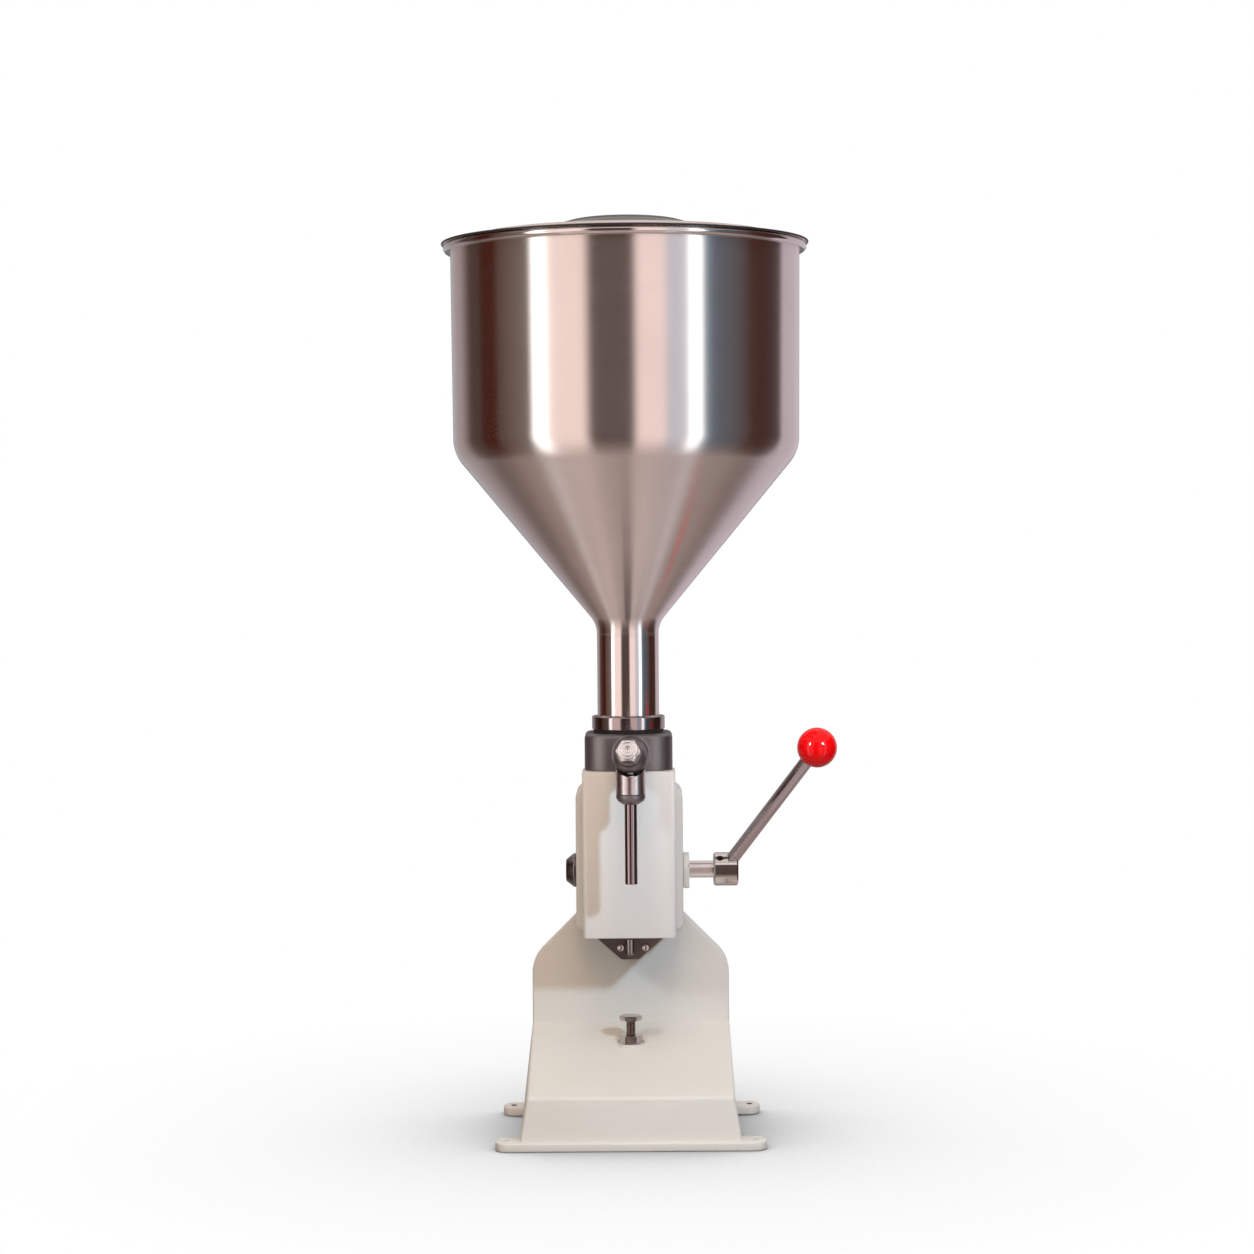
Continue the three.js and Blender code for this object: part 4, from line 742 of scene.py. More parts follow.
@dataclass
class ValveHead:
    """The valve block with its elbow, the plug in it, and the nozzle below."""

    finishes: Finishes
    corner_radius: float = 20.0
    top_edge: float = 3.6
    elbow_radius: float = 13.8
    elbow_rise: float = 15.3
    cast_grain: float = 0.75
    bonnet_radius: float = 10.2
    bonnet_reach: float = 13.9
    plug_tilt: float = 22.0
    plug_swing: float = 6.0
    plug_flats: float = 17.0
    plug_length: float = 8.0
    plug_crown: float = 2.4
    arm_end: float = 10.0
    skirt_height: float = 4.0
    throat_radius: float = 15.0
    chamber_radius: float = 20.0
    chamber_roof: float = 3.0
    mouth_radius: float = 7.5
    socket_wall: float = 4.25
    collar_bore: float = 5.3
    tube_wall: float = 1.0

    def elbow_centre(self) -> Vector:
        """Give the middle of the elbow's ball end, about the barrel's axis, in millimetres."""
        nozzle = middle_of("nozzle_tube") - BARREL_AXIS
        bottom = box_of("valve_block")[0].z
        return Vector((nozzle.x, nozzle.y, bottom + self.elbow_rise * MM)) / MM

    def toward_plug(self) -> Matrix:
        """Give the matrix from the Z axis to the plug's slanting axis."""
        swing, tilt = math.radians(self.plug_swing), math.radians(self.plug_tilt)
        direction = Vector((-math.sin(swing), -1.0, math.tan(tilt))).normalized()
        turn = direction.to_track_quat("Z", "X").to_matrix().to_4x4()
        return Matrix.Translation(self.elbow_centre() * MM) @ turn

    def block(self) -> None:
        """Make the block: rounded square, elbow with a ball end and bonnet, grown together as if cast."""
        high = box_of("valve_block")[1]
        half = high.x / MM
        bottom = box_of("frame_casting")[1].z / MM + GAP
        top = high.z / MM
        cut = (bottom + self.skirt_height) * MM
        round_square = [Corner(sx * half, sy * half, self.corner_radius) for sx, sy in ROUND_THE_CORNERS]
        body = thick_outline(round_square, bottom, top + self.top_edge, self.top_edge, Axis.Z, 12, 5)
        bmesh.ops.bisect_plane(
            body, geom=body.verts[:] + body.edges[:] + body.faces[:], plane_co=(0, 0, cut),
            plane_no=(0, 0, 1), clear_inner=True)
        drop = bmesh.ops.extrude_edge_only(body, edges=open_edges(body))["geom"]
        for vert in (v for v in drop if isinstance(v, bmesh.types.BMVert)):
            vert.co.z = bottom * MM
        bmesh.ops.holes_fill(body, edges=open_edges(body))
        bmesh.ops.translate(
            body, verts=[v for v in body.verts if v.co.z > cut + MM], vec=(0, 0, -self.top_edge * MM))
        bmesh.ops.recalc_face_normals(body, faces=body.faces[:])
        centre = self.elbow_centre()
        arm = laid(rod(self.elbow_radius, 0, -centre.y - self.arm_end, steps=Steps.ROUND), Axis.Y)
        shifted(arm, *centre)
        ball = bmesh.new()
        bmesh.ops.create_uvsphere(ball, u_segments=64, v_segments=32, radius=self.elbow_radius * MM)
        shifted(ball, *centre)
        bonnet = moved(rod(self.bonnet_radius, 4, self.bonnet_reach, 0.6), self.toward_plug())
        obj = as_object("valve_casting", body)
        combine(obj, [cutter(arm), cutter(ball), cutter(bonnet)], "UNION")
        neck = box_of("neck_tube")[1].x / MM + GAP
        seat = box_of("neck_tube")[0].z / MM - GAP
        well = rod(neck, seat, top + 5, steps=Steps.ROUND)
        throat = rod(self.throat_radius, seat - 30, seat + THROUGH, steps=Steps.ROUND)
        chamber = rod(self.chamber_radius, bottom - 2, seat - self.chamber_roof, steps=Steps.ROUND)
        mouth = shifted(rod(self.mouth_radius, centre.z - 30, centre.z - 6), centre.x, centre.y)
        combine(obj, [cutter(part) for part in (well, throat, chamber, mouth)], "DIFFERENCE")
        grown = obj.modifiers.new("cast", "REMESH")
        grown.mode = "VOXEL"
        grown.voxel_size = self.cast_grain * MM
        smooth = obj.modifiers.new("smooth", "SMOOTH")
        smooth.factor = 0.5
        smooth.iterations = 6
        settle(obj)
        put(soft_shaded(obj, 60), self.finishes.blasted, "frame", "valve_block")

    def plug(self) -> None:
        """Make the hexagon plug: six flats, a turned face with rings and a centre dimple."""
        face = self.bonnet_reach + GAP
        top = face + self.plug_length
        height = self.plug_length - self.plug_crown
        hexagon = six_sided(self.plug_flats, height)
        upright = [e for e in hexagon.edges if abs(e.verts[0].co.z - e.verts[1].co.z) > MM]
        bmesh.ops.bevel(
            hexagon, geom=upright, offset=0.4 * MM, offset_type="OFFSET", segments=3, profile=0.5,
            affect="EDGES", material=-1)
        shifted(hexagon, z=face + height / 2)
        radius = self.plug_flats / 2 - 0.1
        turned_face = turned([
            Corner(0, face + 1), Corner(radius, face + 1), Corner(radius, top - 0.2, 1.0),
            Corner(6.3, top - 0.2, 0.3), Corner(6.0, top - 0.6, 0.2), Corner(5.5, top - 0.6, 0.2),
            Corner(5.2, top - 0.1, 0.2), Corner(3.4, top - 0.1, 0.2), Corner(3.1, top - 0.5, 0.2),
            Corner(2.2, top - 0.5, 0.2), Corner(1.6, top - 1.6, 0.3), Corner(0, top - 2.0),
        ], Steps.SMALL, segments=3, closed=False)
        shank = rod(5, face - 7, face + 1.5, 0.4)
        bm = moved(joined(hexagon, turned_face, shank), self.toward_plug())
        obj = soft_shaded(as_object("elbow_plug", bm), 28)
        # partly painted reflection: the plug gets the brightened steel
        put(obj, self.finishes.bright, "frame", "hex_plug")

    def nozzle(self) -> None:
        """Make the socket under the elbow, the tapered collar and the tube."""
        centre = self.elbow_centre()
        low, high = box_of("nozzle_socket")
        outer = (high.x - low.x) / 2 / MM
        pipe = tube(outer - self.socket_wall, outer, low.z / MM, high.z / MM, 0.3)
        obj = as_object("nozzle_sleeve", shifted(pipe, centre.x, centre.y))
        arm = shifted(laid(rod(self.elbow_radius + FIT, -20, 60, steps=Steps.ROUND), Axis.Y), *centre)
        combine(obj, [cutter(arm)], "DIFFERENCE")
        put(soft_shaded(obj), self.finishes.satin, "frame", "nozzle_socket")
        low, high = box_of("nozzle_collar")
        outer = (high.x - low.x) / 2 / MM
        foot, top = low.z / MM, high.z / MM
        bore = self.collar_bore
        collar = turned([
            Corner(bore, foot, 0.3), Corner(6.6, foot, 0.5), Corner(outer - 1.2, foot + 2.6, 1.5),
            Corner(outer, foot + 5.0, 2.0), Corner(outer, top, 0.3), Corner(4, top), Corner(4, top - 1),
            Corner(bore, top - 1),
        ], Steps.ROUND)
        obj = as_object("nozzle_cone", shifted(collar, centre.x, centre.y))
        put(soft_shaded(obj), self.finishes.blasted, "frame", "nozzle_collar")
        low, high = box_of("nozzle_tube")
        outer = (high.x - low.x) / 2 / MM
        pipe = tube(outer - self.tube_wall, outer, low.z / MM, high.z / MM, 0.25, Steps.SMALL)
        obj = as_object("nozzle_pipe", shifted(pipe, centre.x, centre.y))
        # painted shade: the tube gets the darkened steel
        put(soft_shaded(obj), self.finishes.nozzle, "frame", "nozzle_tube")


@dataclass
class Casting:
    """The painted frame: feet, hollow base with a sloping deck, panel with shoulders, column and head."""

    finishes: Finishes
    wall: float = 6.0
    foot_line: float = 88.0
    skirt: float = 87.0
    half: float = 82.4
    column: float = 44.2
    column_bottom: float = 159.5
    column_top: float = 278.0
    column_floor: float = 7.5
    shoulder_foot: float = 130.8
    shoulder_top: float = 169.0
    shoulder_radius: float = 25.0
    ledge: float = 36.0
    ledge_front: float = -34.0
    ledge_back: float = 48.0
    head_depth: float = 20.7
    base_front: float = -99.5
    kerb: tuple[float, float] = (-98.5, 13.0)
    deck_front: tuple[float, float] = (-95.0, 41.0)
    deck_back: tuple[float, float] = (40.0, 78.0)
    back: float = 58.0
    panel_lip: float = 3.0
    foot_height: float = 7.0
    foot_depths: tuple[float, float] = (26.0, 25.0)
    rear_foot: float = 35.0
    lugs: tuple[tuple[float, float], ...] = ((-99.0, -92.0), (99.0, -92.0), (-99.0, 47.5), (99.0, 47.5))
    lug_hole: float = 2.75
    barrel_bore: float = 23.3
    block_seat: float = 29.3
    shaft_bore: float = 10.6
    rack_slot: float = 11.3
    cavity_half: float = 38.2
    bolt_bore: float = 4.3
    boss_radius: float = 11.0
    pocket_radius: float = 11.4

    def base(self) -> bmesh.types.BMesh:
        """Make the base's outside: a side profile with width, drawn in towards the deck, its edges soft."""
        rear = self.back - self.panel_lip
        profile = [
            Corner(self.base_front, 0), Corner(*self.kerb), Corner(*self.deck_front), Corner(*self.deck_back),
            Corner(rear, self.deck_back[1]), Corner(rear, 0),
        ]
        bm = thick_outline(profile, -self.half, self.half, 0, Axis.X)
        for level, width in ((0.0, self.foot_line), (self.kerb[1], self.skirt)):
            ring = [v for v in bm.verts if abs(v.co.z - level * MM) < 0.5 * MM]
            bmesh.ops.scale(bm, verts=ring, vec=(width / self.half, 1, 1))
        soft = [e for e in bm.edges if all(v.co.y < self.deck_back[0] * MM + MM for v in e.verts)
                and max(v.co.z for v in e.verts) > MM]
        bmesh.ops.bevel(
            bm, geom=soft, offset=3.0 * MM, offset_type="OFFSET", segments=4, profile=0.5, affect="EDGES",
            material=-1, clamp_overlap=True)
        bmesh.ops.recalc_face_normals(bm, faces=bm.faces[:])
        return bm

    def panel_outline(self, inset: float, bottom: float, top: float, top_radius: float) -> list[Corner]:
        """Give the panel's outline seen from the front.

        Args:
            inset: How far it is drawn in all round.
            bottom: The height where it starts.
            top: The height where it ends.
            top_radius: The radius of its top corners.

        Returns:
            The corners of the outline.
        """
        wide, narrow = self.half - inset, self.column - inset
        drop = inset * math.tan(math.pi / 8)
        knee = self.shoulder_foot - drop
        neck = self.shoulder_top - drop
        right = [Corner(wide, bottom), Corner(wide, knee, self.shoulder_radius - inset)]
        if top > neck:
            right += [Corner(narrow, neck, 2.0), Corner(narrow, top, top_radius)]
        else:
            right += [Corner(wide - (top - knee), top)]
        return right + [Corner(-c.across, c.up, c.radius) for c in reversed(right)]

    def column_box(self) -> bmesh.types.BMesh:
        """Make the column's outside, standing proud of the panel."""
        low, high, side = self.column_bottom, self.column_top, self.column
        outline = [Corner(-side, low, 6), Corner(side, low, 6), Corner(side, high, 9), Corner(-side, high, 9)]
        return thick_outline(outline, 0, self.back - self.panel_lip, 2.2, Axis.Y, 6)

    def foot(self, front: float, depth: float) -> bmesh.types.BMesh:
        """Make one foot rail with rounded ends and softened edges."""
        half_width = box_of("frame_casting")[1].x / MM
        outline = [Corner(sx * half_width, front + depth * (sy + 1) / 2, 10) for sx, sy in ROUND_THE_CORNERS]
        return thick_outline(outline, 0, self.foot_height, 1.3, Axis.Z, 8)

    def hollows(self) -> list[bpy.types.Object]:
        """Make the cutters for the base's underside, the panel's back, the column and every hole."""
        inner = self.wall
        slope = (self.deck_back[1] - self.deck_front[1]) / (self.deck_back[0] - self.deck_front[0])
        under = inner / math.cos(math.atan(slope))
        front = self.deck_front[0] + inner
        deck = self.deck_front[1] + inner * slope - under
        profile = [
            Corner(self.kerb[0] + inner, -2), Corner(self.kerb[0] + inner, self.kerb[1], 4),
            Corner(front, deck, 3), Corner(self.deck_back[0], self.deck_back[1] - under),
            Corner(self.deck_back[0], -2),
        ]
        base = thick_outline(profile, inner - self.half, self.half - inner, 0, Axis.X)
        back = thick_outline(
            self.panel_outline(inner, -2, self.column_bottom - inner, 0), self.deck_back[0] + inner,
            self.back + 2, 0)
        floor = self.column_bottom + self.column_floor
        head = box_of("frame_casting")[1].z / MM
        ceiling = head - self.head_depth
        side, slot = self.cavity_half, self.rack_slot
        shaft = middle_of("shaft") - BARREL_AXIS
        bearing = laid(rod(self.shaft_bore, -46, 46, steps=Steps.ROUND), Axis.X)
        holes = [
            base, back, slab((-side, side), (-2, self.back - inner), (floor, ceiling)),
            rod(self.barrel_bore, ceiling - THROUGH, head + THROUGH, steps=Steps.ROUND),
            rod(self.block_seat, head - 6, head + THROUGH, steps=Steps.ROUND),
            slab((-slot, slot), (-slot, slot), (floor - 9, floor + THROUGH)),
            rod(self.bolt_bore, 30, 90), rod(self.pocket_radius, self.deck_height(0), 95, steps=Steps.ROUND),
            shifted(bearing, 0, shaft.y / MM, shaft.z / MM),
        ]
        for place in self.lugs:
            holes.append(shifted(rod(self.lug_hole, -THROUGH, self.foot_height + THROUGH), *place))
        return [cutter(hole) for hole in holes]

    def deck_height(self, y: float) -> float:
        """Give the deck's height at a distance behind the barrel's axis."""
        (y0, z0), (y1, z1) = self.deck_front, self.deck_back
        return z1 - (y1 - y) * (z1 - z0) / (y1 - y0)

    def make(self) -> None:
        """Make the casting as one closed piece."""
        low, high = box_of("frame_casting")
        top = high.z / MM
        obj = as_object("frame_enamel", self.base())
        panel = thick_outline(
            self.panel_outline(0, 0.0, self.column_top, 9), self.deck_back[0], self.back, 2.8, Axis.Y, 12)
        middle, reach = (self.ledge_front + self.ledge_back) / 2, (self.ledge_back - self.ledge_front) / 2
        head_corners = [Corner(sx * self.ledge, middle + sy * reach, 8) for sx, sy in ROUND_THE_CORNERS]
        head = thick_outline(head_corners, top - self.head_depth, top, 0.6, Axis.Z, 8)
        boss = rod(self.boss_radius, self.deck_height(0) - 20, self.deck_height(0) + 6, steps=Steps.ROUND)
        combine(obj, [cutter(panel), cutter(self.column_box())], "UNION")
        hollows = self.hollows()
        combine(obj, hollows[:3], "DIFFERENCE")
        floor = slab((-self.ledge, self.ledge), (self.ledge_front, 8),
                     (self.column_bottom, self.column_bottom + self.column_floor), 0.8)
        front_depth, rear_depth = self.foot_depths
        feet = [self.foot((low - BARREL_AXIS).y / MM, front_depth), self.foot(self.rear_foot, rear_depth)]
        combine(obj, [cutter(part) for part in (head, floor, boss, *feet)], "UNION")
        combine(obj, hollows[3:], "DIFFERENCE")
        put(soft_shaded(obj, 30), self.finishes.casting, "frame", "frame_casting")


@dataclass
class Cover:
    """The folded sheet in front of the drive, and its countersunk screws."""

    finishes: Finishes
    sheet: float = 1.6
    fold: float = 3.9
    inner_fold: float = 2.3
    seat_radius: float = 3.8
    head_radius: float = 3.5
    shank_radius: float = 2.0
    length: float = 9.8
    head_depth: float = 1.6
    sunk: float = 0.05
    recess_reach: float = 1.9
    recess_half: float = 0.4
    recess_depth: float = 1.1

    def make(self) -> None:
        """Make the cover as a folded sheet."""
        low, high = box_of("front_cover")
        axis_y = BARREL_AXIS.y / MM
        side = high.x / MM
        front, back = low.y / MM - axis_y, high.y / MM - axis_y
        outer = thick_outline([
            Corner(-side, back), Corner(-side, front, self.fold),
            Corner(side, front, self.fold), Corner(side, back),
        ], low.z / MM, high.z / MM, 0.7, Axis.Z, 8, 2)
        obj = as_object("cover_sheet", outer)
        turn_in = side - self.sheet
        inner = thick_outline([
            Corner(-turn_in, back + 2), Corner(-turn_in, front + self.sheet, self.inner_fold),
            Corner(turn_in, front + self.sheet, self.inner_fold), Corner(turn_in, back + 2),
        ], low.z / MM - 2, high.z / MM + 2, 0, Axis.Z, 4)
        places = [middle_of(f"cover_screw_{index}") - BARREL_AXIS for index in range(1, 5)]
        seats = [cutter(self.screw_seat(place, side)) for place in places]
        combine(obj, [cutter(inner), *seats], "DIFFERENCE")
        put(soft_shaded(obj), self.finishes.cover, "frame", "front_cover")
        for index, place in enumerate(places, 1):
            self.screw(index, place, side)

    def on_side(self, bm: bmesh.types.BMesh, place: Vector, side: float) -> bmesh.types.BMesh:
        """Lay a screw shape, drawn up to height zero, on the cover's left or right face."""
        hand = math.copysign(1, place.x)
        turn = Matrix.Rotation(math.radians(90 * hand), 4, "Y")
        return moved(bm, Matrix.Translation((hand * side * MM, place.y, place.z)) @ turn)

    def screw_seat(self, place: Vector, side: float) -> bmesh.types.BMesh:
        """Make the cutter for a countersunk hole."""
        hole, seat = self.shank_radius + GAP, self.seat_radius
        cone = turned([
            Corner(0, -12), Corner(hole, -12), Corner(hole, seat - GAP - 5), Corner(seat, self.sunk),
            Corner(seat, THROUGH), Corner(0, THROUGH),
        ], Steps.SMALL, closed=False)
        return self.on_side(cone, place, side)

    def screw(self, index: int, place: Vector, side: float) -> None:
        """Make one countersunk screw with a crossed recess."""
        shank, head, top = self.shank_radius, self.head_radius, -self.sunk
        body = turned([
            Corner(0, -self.length), Corner(shank, -self.length), Corner(shank, -self.head_depth),
            Corner(head, top - 0.1, 0.1), Corner(head - 0.1, top, 0.1), Corner(0, top),
        ], Steps.SMALL, segments=2, closed=False)
        obj = as_object(f"cover_screw_head_{index}", self.on_side(body, place, side))
        reach, half, depth = self.recess_reach, self.recess_half, self.recess_depth
        cross = [slab((-x, x), (-y, y), (-depth, THROUGH)) for x, y in ((reach, half), (half, reach))]
        combine(obj, [cutter(self.on_side(arm, place, side)) for arm in cross], "DIFFERENCE")
        put(soft_shaded(obj), self.finishes.turned, "frame", f"cover_screw_{index}")


@dataclass
class Drive:
    """The shaft with its cap, bearing flange and lever, and the rack's foot below the cover."""

    finishes: Finishes
    shaft_radius: float = 7.0
    outward: float = 28.7
    forward: float = 36.9
    roll: float = 17.0
    reach: float = 152.0
    bar_width: float = 8.0
    ball_radius: float = 16.05
    ball_flat: float = 1.3
    spigot_radius: float = 3.5
    spigot_length: float = 13.0
    hub_wall: float = 0.8
    grub_turn: float = 43.0
    grub_radius: float = 2.5
    grub_key: float = 1.45
    cap_radius: float = 14.0
    cap_nose: float = 8.85
    split_height: float = 3.4
    split_width: float = 0.9
    stud_slot: float = 5.3
    stud_shoulder: float = 5.9
    stud_shank: float = 1.8
    blade_tip: float = 7.4
    plate_screw: float = 1.5

    def shaft_centre(self) -> Vector:
        """Give the shaft's axis about the barrel's axis, in millimetres."""
        centre = (middle_of("shaft") - BARREL_AXIS) / MM
        return Vector((0, centre.y, centre.z))

    def on_shaft(self, bm: bmesh.types.BMesh) -> bmesh.types.BMesh:
        """Lay a mesh turned about Z along the shaft, its heights becoming X."""
        centre = self.shaft_centre()
        return shifted(laid(bm, Axis.X), 0, centre.y, centre.z)

    def along_lever(self) -> Matrix:
        """Give the matrix from the Z axis to the lever's slanting axis, rolled about it."""
        direction = Vector((
            math.sin(math.radians(self.outward)),
            -math.cos(math.radians(self.outward)) * math.sin(math.radians(self.forward)),
            math.cos(math.radians(self.outward)) * math.cos(math.radians(self.forward))))
        centre = self.shaft_centre()
        root = Vector((middle_of("lever_hub").x / MM - 1.0, centre.y, centre.z))
        turn = Vector((0, 0, 1)).rotation_difference(direction)
        rolled = Quaternion((0, 0, 1), math.radians(self.roll))
        return Matrix.Translation(root * MM) @ (turn @ rolled).to_matrix().to_4x4()

    def shaft(self) -> None:
        """Make the shaft, its left cap and the split bearing flange."""
        low, high = box_of("shaft")
        bm = rod(self.shaft_radius, low.x / MM, high.x / MM, 0.5, Steps.ROUND)
        obj = soft_shaded(as_object("drive_shaft", self.on_shaft(bm)))
        # painted reflection: the shaft gets the paler than steel base
        put(obj, self.finishes.ground_with_painted_reflection, "lever", "shaft")
        low, high = box_of("shaft_cap")
        length = (high.x - low.x) / MM
        bore, outer = self.shaft_radius + GAP, self.cap_radius
        cap = turned([
            Corner(bore, 0), Corner(outer, 0, 0.5), Corner(outer, 2.0, 1.4),
            Corner(self.cap_nose, length, 1.0), Corner(2.2, length, 0.3), Corner(1.8, length - 0.8, 0.3),
            Corner(0, length - 1.0), Corner(0, length - 1.5), Corner(bore, length - 1.5),
        ], Steps.ROUND, segments=4, closed=False)
        bmesh.ops.rotate(cap, verts=cap.verts[:], cent=(0, 0, 0), matrix=Matrix.Rotation(math.pi, 3, "Y"))
        shifted(cap, z=high.x / MM)
        obj = soft_shaded(as_object("shaft_end_cap", self.on_shaft(cap)))
        put(obj, self.finishes.gunmetal, "lever", "shaft_cap")
        low, high = box_of("bearing_flange")
        radius = (high.y - low.y) / 2 / MM
        centre = self.shaft_centre()
        x0, x1 = low.x / MM, high.x / MM
        outline = [Corner(centre.y + sy * radius, centre.z + sz * radius, radius - 0.05 if sz > 0 else 1.5)
                   for sy, sz in ROUND_THE_CORNERS]
        obj = as_object("bearing_block", thick_outline(outline, x0, x1, 0.8, Axis.X, 16))
        split_foot = centre.z + self.split_height
        split = slab((x1 - 1.2, x1 + THROUGH), (centre.y - 20, centre.y + 20),
                     (split_foot, split_foot + self.split_width))
        bore = self.on_shaft(rod(self.shaft_radius + GAP, x0 - THROUGH, x1 + THROUGH, steps=Steps.ROUND))
        combine(obj, [cutter(split), cutter(bore)], "DIFFERENCE")
        put(soft_shaded(obj), self.finishes.casting, "frame", "bearing_flange")

    def lever(self) -> None:
        """Make the hub, its set screw, the square bar and the ball."""
        low, high = box_of("lever_hub")
        radius = (high.y - low.y) / 2 / MM
        near, far = low.x / MM, high.x / MM
        obj = as_object("lever_boss", self.on_shaft(rod(radius, near, far, 1.2, Steps.ROUND)))
        bore = rod(self.shaft_radius + FIT, near - THROUGH, far - self.hub_wall, steps=Steps.ROUND)
        half = self.bar_width / 2
        along = self.along_lever()
        slot_half = half + FIT
        slot = moved(slab((-slot_half, slot_half), (-slot_half, slot_half), (5, 40)), along)
        centre = self.shaft_centre()
        place = Matrix.Translation(Vector((middle_of("hub_set_screw").x / MM, centre.y, centre.z)) * MM)
        place = place @ Matrix.Rotation(math.radians(self.grub_turn), 4, "X")
        screw_hole = moved(rod(self.grub_radius + GAP, 5, 16), place)
        combine(obj, [cutter(self.on_shaft(bore)), cutter(slot), cutter(screw_hole)], "DIFFERENCE")
        put(soft_shaded(obj), self.finishes.polished, "lever", "lever_hub")
        obj = as_object("grub_screw", moved(rod(self.grub_radius, 7.4, 12.7, 0.4), place))
        socket = shifted(six_sided(self.grub_key * math.sqrt(3), 4), z=12.9)
        combine(obj, [cutter(moved(socket, place))], "DIFFERENCE")
        put(soft_shaded(obj), self.finishes.dark, "lever", "hub_set_screw")
        end = self.reach - self.ball_radius + 1
        obj = as_object("lever_rod", moved(slab((-half, half), (-half, half), (0, end), 0.5, 2), along))
        clear = self.on_shaft(rod(self.shaft_radius + 2 * GAP, near - 30, far + 30, steps=Steps.ROUND))
        combine(obj, [cutter(clear)], "DIFFERENCE")
        spigot = rod(self.spigot_radius, end - 1, end + self.spigot_length, 0.4)
        combine(obj, [cutter(moved(spigot, along))], "UNION")
        put(soft_shaded(obj), self.finishes.drawn, "lever", "lever_bar")
        ball = bmesh.new()
        bmesh.ops.create_uvsphere(ball, u_segments=72, v_segments=40, radius=self.ball_radius * MM)
        obj = as_object("lever_ball", moved(shifted(ball, z=self.reach), along))
        start = self.reach - self.ball_radius
        cuts = [rod(self.spigot_radius + GAP, start - THROUGH, start + self.spigot_length + self.ball_flat),
                rod(self.ball_radius, start - THROUGH, start + self.ball_flat, steps=Steps.ROUND)]
        combine(obj, [cutter(moved(part, along)) for part in cuts], "DIFFERENCE")
        put(soft_shaded(obj, 50), self.finishes.ball, "lever", "ball_knob")

    def rack_foot(self) -> None:
        """Make the stop plate with its two screws, and the round-nosed stud between them."""
        low, high = box_of("stop_plate")
        top, bottom = high.z / MM, low.z / MM
        near, far = (low.y - BARREL_AXIS.y) / MM, (high.y - BARREL_AXIS.y) / MM
        side = high.x / MM
        plate = thick_outline([
            Corner(-side, top), Corner(-self.blade_tip, bottom, 4), Corner(self.blade_tip, bottom, 4),
            Corner(side, top),
        ], near, far, 0.3, Axis.Y, 8, 2)
        obj = as_object("stop_blade", plate)
        screws = [middle_of(f"stop_plate_screw_{index}") - BARREL_AXIS for index in (1, 2)]
        shoulder = top - self.stud_shoulder
        tools = [slab(
            (-self.stud_slot, self.stud_slot), (near - THROUGH, far + THROUGH), (shoulder, top + THROUGH))]
        shank = self.plate_screw
        for place in screws:
            hole = laid(rod(shank + GAP, near - THROUGH, far + THROUGH), Axis.Y)
            tools.append(shifted(hole, place.x / MM, 0, place.z / MM))
        combine(obj, [cutter(tool) for tool in tools], "DIFFERENCE")
        put(soft_shaded(obj), self.finishes.dark, "piston", "stop_plate")
        for index, place in enumerate(screws, 1):
            node = f"stop_plate_screw_{index}"
            front = (box_of(node)[0].y - BARREL_AXIS.y) / MM
            head = laid(turned([
                Corner(0, 9.8), Corner(shank, 9.8), Corner(shank, 1.8), Corner(2.8, 1.8, 0.3),
                Corner(2.8, 0, 0.7), Corner(1.35, 0, 0.2), Corner(1.25, 1.0, 0.2), Corner(0, 1.0),
            ], Steps.SMALL, segments=3, closed=False), Axis.Y)
            obj = as_object(f"stop_blade_screw_{index}", shifted(head, place.x / MM, front, place.z / MM))
            put(soft_shaded(obj), self.finishes.polished, "piston", node)
        low, high = box_of("stop_stud")
        radius = (high.x - low.x) / 2 / MM
        nose, end = low.z / MM, high.z / MM
        stud = turned([
            Corner(0, nose), Corner(radius, nose, radius * 0.98), Corner(radius, shoulder, 0.3),
            Corner(self.stud_shank, shoulder), Corner(self.stud_shank, end), Corner(0, end),
        ], Steps.SMALL, segments=10, closed=False)
        place = middle_of("stop_stud") - BARREL_AXIS
        obj = soft_shaded(as_object("stop_pin", shifted(stud, 0, place.y / MM)))
        put(obj, self.finishes.gunmetal, "piston", "stop_stud")

    def make(self) -> None:
        """Make the shaft, the lever and the rack's foot."""
        self.shaft()
        self.lever()
        self.rack_foot()


